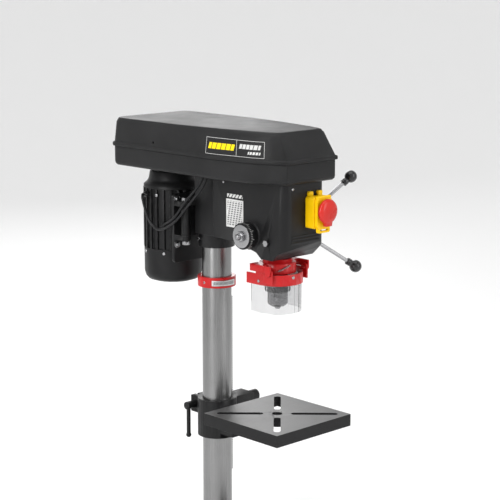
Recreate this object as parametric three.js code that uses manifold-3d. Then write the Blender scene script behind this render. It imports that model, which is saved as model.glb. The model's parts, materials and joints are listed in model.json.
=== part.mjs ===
// A bench drill press with a belt-drive head, a rack-and-crank table and a hinged chuck guard.
// Millimetres, +Z up. The origin is on the column's axis, level with the underside of the base.
// The front is -Y, so the spindle and the table lie at negative Y and the motor at positive Y.
import * as THREE from "three";
import { mergeVertices } from "three/addons/utils/BufferGeometryUtils.js";
import Module from "manifold-3d";

const wasm = await Module();
wasm.setup();

// ---------------------------------------------------------------- driving sizes
const FIT = 0.3; // clearance between pieces that seat on or slide in each other
const THROUGH = 2; // how far a cutting tool runs past the face that it opens
const SIDES = 22; // facets of an ordinary round piece
const SMALL_SIDES = 12; // facets of a pin, screw or rod
const ROUND_SIDES = 32; // facets of the column and of what surrounds it or the quill
const PULLEY_SIDES = 16;

const COLUMN_RADIUS = 35;
const COLUMN_WALL = 4;
const SPINDLE_REACH = 205; // column axis to spindle axis

const BASE = { half: 130, front: -335, rear: 95, top: 38, corner: 32, draft: 7, rib: 12, skin: 13 };
const BASE_SLOT = { x: 62, width: 16, length: 165, front: -292 };
const BASE_HOLE = { radius: 6.5, inset: 24 };
const FLANGE = { radius: COLUMN_RADIUS + 41, plate: 14, boss: COLUMN_RADIUS + 15, top: 84, groove: 12 };

const RACK = { width: 12, tip: COLUMN_RADIUS + 12, end: COLUMN_RADIUS + 6, teethFrom: 179, teethTo: 618, bottom: 74, top: 657, module: 1.75 };
const RACK_COLLAR = { radius: COLUMN_RADIUS + 10.5, bottom: 648, top: 673 };

const TABLE = { half: 120, top: 375, depth: 28, skin: 13, rim: 12, hole: 12, slot: 16 };
const TABLE_SLOT = { near: 40, far: 132 }; // from the centre of the table, along its diagonals
const BRACKET = { radius: COLUMN_RADIUS + 12.3, bottom: 281, top: 373, armHalf: 27, armBottom: 294, armTop: 345 };
const CLAMP = { gap: 6, ear: 15, y: 62, z: 345, reach: 75, boltRadius: 6 };
const TILT = { z: 320, radius: 26, bolt: 8, length: 68 };
const LIFT = { teeth: 16, z: 322, shaftZ: 352, face: 16, housingEnd: 101, shaft: 7 };
const CRANK = { hub: 14, end: 129, arm: 74, grip: 9, gripLength: 52 };

const HEAD = { half: 65, front: -292, rear: -60, top: 924, wall: 8, corner: 22, floor: 816 };
const HEAD_SLEEVE = { radius: COLUMN_RADIUS + 8, bottom: 744 };
const NOSE = { radius: 29, bottom: 737, top: 905 };

const QUILL = { radius: 20, bottom: 728, top: 892, travel: 80 };
const FEED = { teeth: 14, module: 1.3, rackOffset: QUILL.radius - 4.5, z: 800, face: 18, shaft: 7 };
const SPINDLE = { radius: 9, bottom: 700, top: 1003 };
const CHUCK = { sleeve: 29, sleeveBottom: 666, sleeveTop: 704, body: 23, bottom: 631, tips: 625, top: 716 };
const JAW = { width: 6, inner: 2.1, outer: 9.6, travel: 7, top: 664 };

const HANDLE = { hub: 26, hubEnd: 106, apex: 78, knobX: 212, knobRadius: 122, rod: 4.5, ball: 14.6 };
const HANDLE_FIRST_ANGLE = 65; // degrees from the front towards the top
const SPRING_CAP = { radius: 30, depth: 21, washer: 26.5, washerThickness: 3, nut: 11, nutLength: 8 };

const COVER = { bottom: 925, lip: 971, lipDepth: 9, top: 1038, wall: 3, lipOut: 5, rearRound: 26 };
// Plan of the cover's lip: half widths at stations along Y, from the front edge to the straight sides.
const COVER_PLAN = { y: [-314, -269, -230, -121, 0], half: [79, 98, 111, 126, 126], rear: 245 };
// Plan of the flat top and of the crease where the sloping flanks meet the walls.
const TOP_PLAN = { y: [-275, -262, -224, -119, 0], half: [62, 69, 80, 99, 112], rear: 234 };
const CREASE_PLAN = { y: [-282, -262, -228, -120, 0], half: [66, 88, 101, 115, 117], rear: 240 };
const CREASE_Z = 1028;
const LID_HINGE = { out: 6.5, radius: 5, pin: 2.5, from: -70, to: 130, knuckle: 28 };
const LID_SIGHT_HOLE = { y: 86, z: 990, radius: 3 };

const PULLEY = { steps: [58, 49, 40, 31], pitch: 13, bottom: 935, groove: 7, land: 1.8 };
const BELT = { thickness: 7, height: 8 };
const IDLER = { y: -58, post: 8 };
const FRONT_BELT_STEP = 1; // counted from the bottom step of each pulley
const REAR_BELT_STEP = 2;

const MOTOR = { y: 156, radius: 71.5, finDepth: 5.5, bottom: 723, top: 868, fins: 24, shaft: 9 };
const MOTOR_BELL = { radius: 58, top: 910 };
const COWL = { bottom: 641, wall: 2, round: 22, inlet: 22 };
const MOTOR_PLATE = { half: 52, back: 72, thickness: 8, bottom: 702, top: 866 };
const PIVOT = { x: -66, y: 34, lug: 11, lugBottom: 771, lugTop: 839, fork: 12, bolt: 5, boltHead: 8.5 };

const SWITCH = { left: -1, width: 51, depth: 26, bottom: 823, top: 893 };
const SWITCH_LID = { thickness: 8, hinge: 4 };
const STOP = { radius: 28, thickness: 13, stem: 9, z: 862, travel: 4 };
const START = { radius: 8, z: 842, out: 3, travel: 2.5 };

const GUARD = { band: 58, bandWall: 3, bandBottom: 688, bandTop: 713, shieldWall: 2.5, shieldBottom: 623 };
const GUARD_COLLAR = { radius: 42, skirt: 4, bottom: 712, top: 735, lug: 63, lugWall: 3.5, plate: 7 };
const GUARD_PIVOT = { ahead: 30, z: 719, pin: 4, ear: 9, legRear: 42 };

const LEAD_RADIUS = 3.2;
const GLAND = { y: 165, z: 856, end: -84, radius: 7 };
// Routes of the motor's two leads, from the motor's side up to the tray over the head.
const LEAD_ROUTES = [
  [[-84.6, 165, 856], [-88, 165, 855.5], [-92, 160, 846], [-91, 151, 820], [-88, 137, 792],
    [-86, 105, 778], [-87, 51, 803], [-81, 8, 847], [-69, -22, 886], [-65, -36, 912], [-65, -37, 924.1]],
  [[-64, 116.5, 790], [-73, 107, 788], [-82, 90, 793], [-87, 52, 813], [-82, 18, 853],
    [-70, -10, 889], [-65, -23, 912], [-65, -24, 924.1]],
];
const LEAD_STEPS = 22;

// ---------------------------------------------------------------- sizes that follow from them
const SPINDLE_Y = -SPINDLE_REACH;
const FEED_PITCH_RADIUS = (FEED.teeth * FEED.module) / 2;
const FEED_Y = SPINDLE_Y + FEED.rackOffset + FEED_PITCH_RADIUS;
const ADDENDUM = 0.8; // tooth tip above the pitch line, in modules
const DEDENDUM = 1.1; // tooth root below the pitch line, in modules
const RACK_PITCH_X = RACK.tip - ADDENDUM * RACK.module;
const LIFT_PITCH_RADIUS = (LIFT.teeth * RACK.module) / 2;
const LIFT_X = RACK_PITCH_X + LIFT_PITCH_RADIUS;
const COVER_FLOOR = COVER.bottom + COVER.wall;
const SWITCH_FRONT = HEAD.front - FIT - SWITCH.depth;
const SWITCH_MIDDLE = SWITCH.left + SWITCH.width / 2;
const TABLE_UNDER = TABLE.top - TABLE.depth;
const GUARD_PIVOT_Y = SPINDLE_Y - GUARD_PIVOT.ahead;
const PLATE_FRONT = MOTOR_PLATE.back - MOTOR_PLATE.thickness;
const MOTOR_CORE = MOTOR.radius - MOTOR.finDepth; // foot of the cooling fins

// ---------------------------------------------------------------- materials
const paint = (color, roughness, metalness = 0) =>
  new THREE.MeshStandardMaterial({ color, roughness, metalness });
const CAST_BLACK = paint(0x232124, 0.55);
const COVER_GREY = paint(0x3c3c3e, 0.5);
const GUARD_RED = paint(0xe1282d, 0.42);
const SAFETY_YELLOW = paint(0xffcd00, 0.45);
const STOP_RED = paint(0xe6372d, 0.4);
const START_GREEN = paint(0x1f8a3b, 0.4);
const BRUSHED_STEEL = paint(0x9a9b9d, 0.35, 1);
const BRIGHT_STEEL = paint(0xc4c5c7, 0.22, 1);
const TABLE_GREY = paint(0x82807f, 0.5, 0.6);
const CAST_ALUMINIUM = paint(0xa6a8ab, 0.45, 1);
const BLACK_PLASTIC = paint(0x1b1b1d, 0.4);
const RUBBER = paint(0x151516, 0.8);
const CLEAR_PLASTIC = new THREE.MeshStandardMaterial({
  color: 0xe8ecee,
  roughness: 0.12,
  transparent: true,
  opacity: 0.35,
});

// ---------------------------------------------------------------- solids
function solidOf(geometry) {
  const bare = geometry.clone();
  bare.deleteAttribute("normal");
  bare.deleteAttribute("uv");
  const merged = mergeVertices(bare, 1e-3);
  return new wasm.Manifold(
    new wasm.Mesh({
      numProp: 3,
      vertProperties: merged.attributes.position.array,
      triVerts: new Uint32Array(merged.index.array),
    }),
  );
}

function geometryOf(solid) {
  const mesh = solid.getMesh();
  return new THREE.BufferGeometry()
    .setAttribute("position", new THREE.BufferAttribute(mesh.vertProperties, 3))
    .setIndex(new THREE.BufferAttribute(mesh.triVerts, 1));
}

const combine = (method, first, rest) =>
  geometryOf(rest.reduce((solid, other) => solid[method](solidOf(other)), solidOf(first)));
const join = (first, ...rest) => combine("add", first, rest);
const cut = (first, ...rest) => combine("subtract", first, rest);
const common = (first, ...rest) => combine("intersect", first, rest);

// ---------------------------------------------------------------- plain shapes
const block = (x0, x1, y0, y1, z0, z1) =>
  new THREE.BoxGeometry(x1 - x0, y1 - y0, z1 - z0).translate((x0 + x1) / 2, (y0 + y1) / 2, (z0 + z1) / 2);

const rodZ = (radius, z0, z1, x = 0, y = 0, sides = SIDES) =>
  new THREE.CylinderGeometry(radius, radius, z1 - z0, sides)
    .rotateX(Math.PI / 2)
    .translate(x, y, (z0 + z1) / 2);

const rodX = (radius, x0, x1, y, z, sides = SIDES) =>
  new THREE.CylinderGeometry(radius, radius, x1 - x0, sides)
    .rotateZ(Math.PI / 2)
    .translate((x0 + x1) / 2, y, z);

const rodY = (radius, y0, y1, x, z, sides = SIDES) =>
  new THREE.CylinderGeometry(radius, radius, y1 - y0, sides).translate(x, (y0 + y1) / 2, z);

// A turned piece about Z. The profile lists [radius, z], and closes on itself or ends on the axis.
function turned(profile, sides = SIDES) {
  const area = profile.reduce((sum, [r, z], i) => {
    const [r1, z1] = profile[(i + 1) % profile.length];
    return sum + r * z1 - r1 * z;
  }, 0);
  const ordered = area > 0 ? profile : [...profile].reverse();
  const points = ordered.map(([r, z]) => new THREE.Vector2(r, z));
  return new THREE.LatheGeometry(points, sides).rotateX(Math.PI / 2);
}

const ring = (outer, inner, z0, z1, sides = SIDES) =>
  turned([[inner, z0], [outer, z0], [outer, z1], [inner, z1], [inner, z0]], sides);

const shapeOf = (points) => new THREE.Shape(points.map(([x, y]) => new THREE.Vector2(x, y)));

const extrude = (shape, depth) =>
  new THREE.ExtrudeGeometry(shape, { depth, bevelEnabled: false, curveSegments: 5 });

// Prisms along each axis: the outline is in (x, y), in (y, z) and in (x, z).
const prismZ = (shape, z0, z1) => extrude(shape, z1 - z0).translate(0, 0, z0);
const prismX = (shape, x0, x1) =>
  extrude(shape, x1 - x0).rotateX(Math.PI / 2).rotateZ(Math.PI / 2).translate(x0, 0, 0);
const prismY = (shape, y0, y1) => extrude(shape, y1 - y0).rotateX(Math.PI / 2).translate(0, y1, 0);

function roundedRectangle(x0, x1, y0, y1, radius) {
  const shape = new THREE.Shape();
  shape.absarc(x1 - radius, y0 + radius, radius, -Math.PI / 2, 0);
  shape.absarc(x1 - radius, y1 - radius, radius, 0, Math.PI / 2);
  shape.absarc(x0 + radius, y1 - radius, radius, Math.PI / 2, Math.PI);
  shape.absarc(x0 + radius, y0 + radius, radius, Math.PI, Math.PI * 1.5);
  return shape;
}

// A slot with round ends, between two points of its centre line.
function slotShape(ax, ay, bx, by, width) {
  const along = Math.atan2(by - ay, bx - ax);
  const shape = new THREE.Shape();
  shape.absarc(bx, by, width / 2, along - Math.PI / 2, along + Math.PI / 2);
  shape.absarc(ax, ay, width / 2, along + Math.PI / 2, along + Math.PI * 1.5);
  return shape;
}

// A skin through level rings of equal length, lowest first, each counter-clockwise from above.
function loft(rings) {
  const count = rings[0].length;
  const positions = rings.flat().flatMap((p) => [p.x, p.y, p.z]);
  const faces = [];
  for (let level = 0; level < rings.length - 1; level += 1) {
    for (let i = 0; i < count; i += 1) {
      const a = level * count + i;
      const b = level * count + ((i + 1) % count);
      faces.push(a, b, b + count, a, b + count, a + count);
    }
  }
  const cap = (level, flip) => {
    const outline = rings[level].map((p) => new THREE.Vector2(p.x, p.y));
    for (const [a, b, c] of THREE.ShapeUtils.triangulateShape(outline, [])) {
      const [second, third] = flip ? [c, b] : [b, c];
      faces.push(level * count + a, level * count + second, level * count + third);
    }
  };
  cap(0, true);
  cap(rings.length - 1, false);
  return new THREE.BufferGeometry()
    .setAttribute("position", new THREE.Float32BufferAttribute(positions, 3))
    .setIndex(faces);
}

// The outline moved inwards by a distance, each corner along its mitre.
function inset(outline, distance) {
  return outline.map((here, i) => {
    const before = outline[(i + outline.length - 1) % outline.length];
    const after = outline[(i + 1) % outline.length];
    const first = here.clone().sub(before).normalize();
    const second = after.clone().sub(here).normalize();
    const mitre = new THREE.Vector2(-first.y - second.y, first.x + second.x);
    const reach = distance / (1 + first.dot(second));
    return here.clone().addScaledVector(mitre, reach);
  });
}

const level = (outline, z) => outline.map((p) => new THREE.Vector3(p.x, p.y, z));

// Straight-flanked rack teeth against involute gear teeth, both thinned by the same backlash.
const PRESSURE_ANGLE = THREE.MathUtils.degToRad(20);
const BACKLASH = 0.5;
const involute = (angle) => Math.tan(angle) - angle;

function gearShape(teeth, module) {
  const pitchRadius = (teeth * module) / 2;
  const baseRadius = pitchRadius * Math.cos(PRESSURE_ANGLE);
  const tip = pitchRadius + ADDENDUM * module;
  const root = pitchRadius - DEDENDUM * module;
  const halfAtPitch = Math.PI / (2 * teeth) - BACKLASH / 2 / pitchRadius;
  const halfAt = (radius) =>
    halfAtPitch + involute(PRESSURE_ANGLE) - involute(Math.acos(Math.min(1, baseRadius / radius)));
  const start = Math.max(baseRadius, root);
  const flank = [start, pitchRadius, tip];
  const points = [];
  for (let i = 0; i < teeth; i += 1) {
    const middle = ((i + 0.5) * 2 * Math.PI) / teeth;
    const at = (radius, turn) =>
      points.push([radius * Math.cos(middle + turn), radius * Math.sin(middle + turn)]);
    at(root, -halfAt(start));
    flank.forEach((radius) => at(radius, -halfAt(radius)));
    [...flank].reverse().forEach((radius) => at(radius, halfAt(radius)));
    at(root, halfAt(start));
  }
  return shapeOf(points.filter(([x, y], i) => {
    const [px, py] = points[(i + points.length - 1) % points.length];
    return Math.hypot(x - px, y - py) > 0.01;
  }));
}

// The toothed edge of a rack from one height to another, as [distance from its back, height].
function rackEdge(pitchLine, module, from, to, through) {
  const pitch = Math.PI * module;
  const tip = pitchLine + ADDENDUM * module;
  const root = pitchLine - DEDENDUM * module;
  const halfPitch = pitch / 4 - BACKLASH / 2;
  const lean = Math.tan(PRESSURE_ANGLE);
  const halfTip = halfPitch - ADDENDUM * module * lean;
  const halfRoot = halfPitch + DEDENDUM * module * lean;
  const first = Math.ceil((from + halfRoot - through) / pitch);
  const last = Math.floor((to - halfRoot - through) / pitch);
  const edge = [];
  for (let i = first; i <= last; i += 1) {
    const z = through + i * pitch;
    edge.push([root, z - halfRoot], [tip, z - halfTip], [tip, z + halfTip], [root, z + halfRoot]);
  }
  return edge;
}

// ---------------------------------------------------------------- the assembly
const group = new THREE.Group();
function add(name, geometry, material) {
  const mesh = new THREE.Mesh(geometry, material);
  mesh.name = name;
  group.add(mesh);
  return mesh;
}

// ---------------------------------------------------------------- base and column
function basePlate() {
  const outline = roundedRectangle(-BASE.half, BASE.half, BASE.front, BASE.rear, BASE.corner)
    .getPoints(6)
    .slice(0, -1);
  const plate = loft([
    level(outline, 0),
    level(outline, BASE.draft),
    level(inset(outline, BASE.draft), BASE.top),
  ]);
  const pocketTop = BASE.top - BASE.skin;
  const pocketSide = BASE.half - 3 * BASE.rib;
  const pocketFront = BASE.front + 3.3 * BASE.rib;
  const pocketRear = -FLANGE.radius - BASE.rib / 3;
  const cuts = [];
  for (const side of [-1, 1]) {
    const inner = side * (BASE.rib / 2);
    const outer = side * pocketSide;
    const [x0, x1] = [Math.min(inner, outer), Math.max(inner, outer)];
    cuts.push(prismZ(roundedRectangle(x0, x1, pocketFront, pocketRear, 8), -THROUGH, pocketTop));
    const x = side * BASE_SLOT.x;
    const slot = slotShape(x, BASE_SLOT.front, x, BASE_SLOT.front + BASE_SLOT.length, BASE_SLOT.width);
    cuts.push(prismZ(slot, -THROUGH, BASE.top + THROUGH));
    for (const y of [BASE.front + BASE_HOLE.inset, BASE.rear - BASE_HOLE.inset]) {
      const holeX = side * (BASE.half - BASE_HOLE.inset);
      cuts.push(rodZ(BASE_HOLE.radius, -THROUGH, BASE.top + THROUGH, holeX, y, SMALL_SIDES));
    }
  }
  return cut(plate, ...cuts);
}
add("base", basePlate(), CAST_BLACK);

const columnBore = COLUMN_RADIUS + FIT;
const rackGroove = RACK.end + 1;
add(
  "column_flange",
  turned([
    [columnBore, BASE.top + FIT],
    [FLANGE.radius, BASE.top + FIT],
    [FLANGE.radius, BASE.top + FLANGE.plate - 3],
    [FLANGE.radius - 3, BASE.top + FLANGE.plate],
    [FLANGE.boss + 8, BASE.top + FLANGE.plate + 2],
    [FLANGE.boss, BASE.top + FLANGE.plate + 10],
    [FLANGE.boss, FLANGE.top - 2],
    [FLANGE.boss - 2, FLANGE.top],
    [rackGroove, FLANGE.top],
    [rackGroove, FLANGE.top - FLANGE.groove],
    [columnBore, FLANGE.top - FLANGE.groove],
    [columnBore, BASE.top + FIT],
  ], ROUND_SIDES),
  CAST_BLACK,
);

const columnTop = HEAD.top - 9;
add(
  "column",
  ring(COLUMN_RADIUS, COLUMN_RADIUS - COLUMN_WALL, BASE.top + FIT, columnTop, ROUND_SIDES),
  BRUSHED_STEEL,
);

const collarSolidFrom = RACK.top + 3;
add(
  "rack_collar",
  turned([
    [rackGroove, RACK_COLLAR.bottom],
    [RACK_COLLAR.radius - 1.5, RACK_COLLAR.bottom],
    [RACK_COLLAR.radius, RACK_COLLAR.bottom + 1.5],
    [RACK_COLLAR.radius, RACK_COLLAR.top - 1.5],
    [RACK_COLLAR.radius - 1.5, RACK_COLLAR.top],
    [columnBore, RACK_COLLAR.top],
    [columnBore, collarSolidFrom],
    [rackGroove, collarSolidFrom],
    [rackGroove, RACK_COLLAR.bottom],
  ], ROUND_SIDES),
  GUARD_RED,
);

function rack() {
  const back = COLUMN_RADIUS + 2 * FIT;
  const edge = rackEdge(RACK_PITCH_X, RACK.module, RACK.teethFrom, RACK.teethTo, LIFT.z);
  const outline = [
    [back, RACK.bottom],
    [RACK.end, RACK.bottom],
    [RACK.end, RACK.teethFrom],
    ...edge,
    [RACK.end, RACK.teethTo],
    [RACK.end, RACK.top],
    [back, RACK.top],
  ];
  return prismY(shapeOf(outline), -RACK.width / 2, RACK.width / 2);
}
add("rack", rack(), BRUSHED_STEEL);

// ---------------------------------------------------------------- table, its bracket and its lift
function tableBracket() {
  const armEnd = -TABLE_REAR_GAP;
  const body = join(
    rodZ(BRACKET.radius, BRACKET.bottom, BRACKET.top, 0, 0, ROUND_SIDES),
    block(-BRACKET.armHalf, BRACKET.armHalf, armEnd, -COLUMN_RADIUS, BRACKET.armBottom, BRACKET.armTop),
    rodY(TILT.radius, armEnd, -COLUMN_RADIUS, 0, TILT.z),
    block(-CLAMP.gap / 2 - CLAMP.ear, CLAMP.gap / 2 + CLAMP.ear, COLUMN_RADIUS, CLAMP.reach,
      CLAMP.z - 20, CLAMP.z + 20),
    block(COLUMN_RADIUS, LIFT.housingEnd, -LIFT_HOUSING_HALF, LIFT_HOUSING_HALF,
      LIFT.z - LIFT_PITCH_RADIUS - 8, LIFT.shaftZ + 16),
  );
  const gearRoom = LIFT_PITCH_RADIUS + RACK.module + 1;
  return cut(
    body,
    rodZ(columnBore, BRACKET.bottom - THROUGH, BRACKET.top + THROUGH, 0, 0, ROUND_SIDES),
    block(-CLAMP.gap / 2, CLAMP.gap / 2, COLUMN_RADIUS - 4, CLAMP.reach + THROUGH,
      BRACKET.bottom - THROUGH, BRACKET.top + THROUGH),
    rodX(CLAMP.boltRadius + FIT, -60, 60, CLAMP.y, CLAMP.z, SMALL_SIDES),
    block(COLUMN_RADIUS - 3, RACK.tip + FIT + 0.5, -RACK.width / 2 - 0.6, RACK.width / 2 + 0.6,
      BRACKET.bottom - THROUGH, BRACKET.top + THROUGH),
    rodY(gearRoom, -LIFT.face / 2 - FIT, LIFT_HOUSING_HALF + THROUGH, LIFT_X, LIFT.z),
    rodX(LIFT.shaft + FIT, LIFT_X - 4, LIFT.housingEnd + THROUGH, 0, LIFT.shaftZ, SMALL_SIDES),
    rodY(TILT.bolt + FIT, armEnd - THROUGH, -COLUMN_RADIUS, 0, TILT.z, SMALL_SIDES),
  );
}
const LIFT_HOUSING_HALF = 23;
const TABLE_REAR_GAP = SPINDLE_REACH - TABLE.half - 2; // column axis to the end of the arm
add("table_bracket", tableBracket(), CAST_BLACK);

// The lift's gear with its hub: it climbs the rack, and the crank's shaft drives it from above.
add(
  "lift_gear",
  join(
    prismY(gearShape(LIFT.teeth, RACK.module), -LIFT.face / 2, LIFT.face / 2),
    rodY(6, LIFT.face / 2 - 1, LIFT_HOUSING_HALF, 0, 0, SMALL_SIDES),
  ).translate(LIFT_X, 0, LIFT.z),
  BRUSHED_STEEL,
);

function crank() {
  const hubStart = LIFT.housingEnd + FIT;
  const armX = CRANK.end - 7;
  const gripZ = LIFT.shaftZ - CRANK.arm;
  return join(
    rodX(LIFT.shaft, LIFT_X - 3, CRANK.end - 1, 0, LIFT.shaftZ, SMALL_SIDES),
    rodX(CRANK.hub, hubStart, CRANK.end, 0, LIFT.shaftZ, SIDES),
    block(armX - 4, armX + 4, -8, 8, gripZ, LIFT.shaftZ),
    rodX(8, armX - 4, armX + 4, 0, gripZ, SMALL_SIDES),
    rodX(CRANK.grip - 3, armX, CRANK.end + 4, 0, gripZ, SMALL_SIDES),
    turned([
      [0, 0], [CRANK.grip - 2, 0], [CRANK.grip, 6], [CRANK.grip - 1, 24],
      [CRANK.grip, CRANK.gripLength - 6], [CRANK.grip - 4, CRANK.gripLength], [0, CRANK.gripLength],
    ], SMALL_SIDES)
      .rotateY(Math.PI / 2)
      .translate(CRANK.end, 0, gripZ),
  );
}
add("crank_handle", crank(), CAST_BLACK);

function lockLever() {
  const hubX = -CLAMP.gap / 2 - CLAMP.ear - FIT;
  const rodX0 = hubX - 20.5;
  return join(
    rodX(CLAMP.boltRadius, rodX0, CLAMP.gap / 2 + CLAMP.ear + 12, CLAMP.y, CLAMP.z, SMALL_SIDES),
    rodX(9.5, rodX0 - 6, hubX, CLAMP.y, CLAMP.z, SMALL_SIDES),
    rodZ(5, CLAMP.z - 74, CLAMP.z, rodX0 + 1, CLAMP.y, SMALL_SIDES),
    new THREE.SphereGeometry(6.5, 16, 10).translate(rodX0 + 1, CLAMP.y, CLAMP.z - 74),
  );
}
add("table_lock_lever", lockLever(), CAST_BLACK);

function table() {
  const rear = SPINDLE_Y + TABLE.half;
  const front = SPINDLE_Y - TABLE.half;
  const inner = TABLE.half - TABLE.rim;
  const skinUnder = TABLE.top - TABLE.skin;
  const bossFront = -TABLE_REAR_GAP - FIT - TILT.length;
  const plate = cut(
    block(-TABLE.half, TABLE.half, front, rear, TABLE_UNDER, TABLE.top),
    block(-inner, inner, front + TABLE.rim, rear - TABLE.rim, TABLE_UNDER - THROUGH, skinUnder),
  );
  const ribs = [
    block(-TABLE.half + 2, TABLE.half - 2, SPINDLE_Y - 4, SPINDLE_Y + 4, TABLE_UNDER + 4, skinUnder + 2),
    block(-4, 4, front + 2, rear - 2, TABLE_UNDER + 4, skinUnder + 2),
    rodZ(TABLE.hole + 9, TABLE_UNDER + 2, skinUnder + 2, 0, SPINDLE_Y, SIDES),
    rodY(TILT.radius, bossFront, -TABLE_REAR_GAP - FIT, 0, TILT.z),
    block(-TILT.radius + 4, TILT.radius - 4, bossFront, rear - 1, TILT.z, skinUnder + 2),
  ];
  const diagonal = Math.SQRT1_2;
  const slots = [];
  for (const [sx, sy] of [[1, 1], [-1, 1], [-1, -1], [1, -1]]) {
    const at = (r) => [sx * r * diagonal, SPINDLE_Y + sy * r * diagonal];
    const shape = slotShape(...at(TABLE_SLOT.near), ...at(TABLE_SLOT.far), TABLE.slot);
    slots.push(prismZ(shape, TABLE_UNDER - THROUGH, TABLE.top + THROUGH));
  }
  return cut(
    join(plate, ...ribs),
    rodZ(TABLE.hole, TABLE_UNDER - THROUGH, TABLE.top + THROUGH, 0, SPINDLE_Y, SIDES),
    rodY(TILT.bolt + FIT, bossFront - THROUGH, rear + THROUGH, 0, TILT.z, SMALL_SIDES),
    ...slots,
  );
}
add("table", table(), TABLE_GREY);

const hexRod = (acrossFlats, from, to) => rodZ(acrossFlats / Math.sqrt(3), from, to, 0, 0, 6);
add(
  "table_tilt_bolt",
  join(
    hexRod(22, 0, 11),
    rodZ(TILT.bolt, -TILT.length - 32, 1, 0, 0, SMALL_SIDES),
  )
    .rotateX(Math.PI / 2)
    .translate(0, -TABLE_REAR_GAP - 2 * FIT - TILT.length, TILT.z),
  BRIGHT_STEEL,
);

// ---------------------------------------------------------------- head
function headCasting() {
  const profile = shapeOf([
    [HEAD.rear, HEAD.top],
    [HEAD.front, HEAD.top],
    [HEAD.front, 787],
    [HEAD.front + 40, 750],
    [SPINDLE_Y - 12, 750],
    [SPINDLE_Y + 4, 763],
    [SPINDLE_Y + 28, 769],
    [SPINDLE_Y + 60, 778],
    [HEAD.rear, 781],
  ]);
  const plan = new THREE.Shape();
  plan.moveTo(HEAD.half, HEAD.rear + THROUGH);
  plan.lineTo(-HEAD.half, HEAD.rear + THROUGH);
  plan.absarc(-HEAD.half + HEAD.corner, HEAD.front + HEAD.corner, HEAD.corner, Math.PI, Math.PI * 1.5);
  plan.absarc(HEAD.half - HEAD.corner, HEAD.front + HEAD.corner, HEAD.corner, -Math.PI / 2, 0);
  const shell = common(
    prismX(profile, -HEAD.half, HEAD.half),
    prismZ(plan, NOSE.bottom, HEAD.top + THROUGH),
  );
  const room = block(-HEAD.half + HEAD.wall, HEAD.half - HEAD.wall, HEAD.front + HEAD.wall,
    -FRONT_OF_WEB, HEAD.floor, HEAD.top + THROUGH);
  const ribs = [791, 798, 805].map((z) =>
    block(-HEAD.half + HEAD.corner, HEAD.half - HEAD.corner, HEAD.front - 1.8, HEAD.front + 2, z, z + 3.2));
  const body = join(
    cut(shell, room),
    ...ribs,
    rodZ(NOSE.radius, NOSE.bottom, NOSE.top, 0, SPINDLE_Y, ROUND_SIDES),
    rodZ(HEAD_SLEEVE.radius, HEAD_SLEEVE.bottom, HEAD.top, 0, 0, ROUND_SIDES),
    block(-HEAD.half + 10, HEAD.half - 10, HEAD.rear - 2, 14, 778, HEAD.top),
    rodX(FEED_BOSS, -HEAD.half - 3, -HEAD.half + 4, FEED_Y, FEED.z),
    rodX(FEED_BOSS - 4, HEAD.half - 4, HEAD.half + 5, FEED_Y, FEED.z),
    rodZ(PIVOT.lug, PIVOT.lugBottom, PIVOT.lugTop, PIVOT.x, PIVOT.y, SIDES),
    block(PIVOT.x, -COLUMN_RADIUS + 2, PIVOT.y - 9, PIVOT.y + 7, PIVOT.lugBottom, PIVOT.lugTop),
  );
  return cut(
    body,
    rodZ(columnBore, HEAD_SLEEVE.bottom - THROUGH, HEAD.top + THROUGH, 0, 0, ROUND_SIDES),
    rodZ(QUILL.radius + FIT, NOSE.bottom - THROUGH, NOSE.top + THROUGH, 0, SPINDLE_Y, ROUND_SIDES),
    rodX(FEED_BORE, -HEAD.half - 20, HEAD.half + 20, FEED_Y, FEED.z, SIDES),
    rodZ(PIVOT.bolt + FIT, PIVOT.lugBottom - THROUGH, PIVOT.lugTop + THROUGH, PIVOT.x, PIVOT.y, SMALL_SIDES),
    rodX(LOCK_SCREW.radius + FIT, -HEAD_SLEEVE.radius - 9, -COLUMN_RADIUS, LOCK_SCREW.y, LOCK_SCREW.z, 12),
    rodX(QUILL_LOCK.radius + FIT, -HEAD.half - 9, QUILL_LOCK.end + 1, QUILL_LOCK.y, QUILL_LOCK.z, 12),
    rodZ(IDLER.post + FIT, IDLER_POST_FROM - 1, HEAD.top + THROUGH, 0, IDLER.y, SMALL_SIDES),
  );
}
const FRONT_OF_WEB = 80; // the room inside the head ends this far in front of the column's axis
const FEED_BOSS = 33;
const FEED_BORE = FEED_PITCH_RADIUS + FEED.module + 0.8;
const LOCK_SCREW = { radius: 4, y: 12, z: 764 };
const QUILL_LOCK = { radius: 4, y: -238, z: 789, end: -42 };
const IDLER_POST_FROM = 880;
add("head_casting", headCasting(), CAST_BLACK);

add(
  "head_lock_screw",
  rodX(LOCK_SCREW.radius, -HEAD_SLEEVE.radius - 5, -COLUMN_RADIUS - 2 * FIT, LOCK_SCREW.y, LOCK_SCREW.z, 12),
  BRIGHT_STEEL,
);

add(
  "quill_lock_screw",
  join(
    rodX(QUILL_LOCK.radius, -HEAD.half - 4, QUILL_LOCK.end, QUILL_LOCK.y, QUILL_LOCK.z, 12),
    hexRod(13, 0, 8)
      .rotateY(-Math.PI / 2)
      .translate(-HEAD.half - FIT, QUILL_LOCK.y, QUILL_LOCK.z),
  ),
  BRIGHT_STEEL,
);

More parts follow.
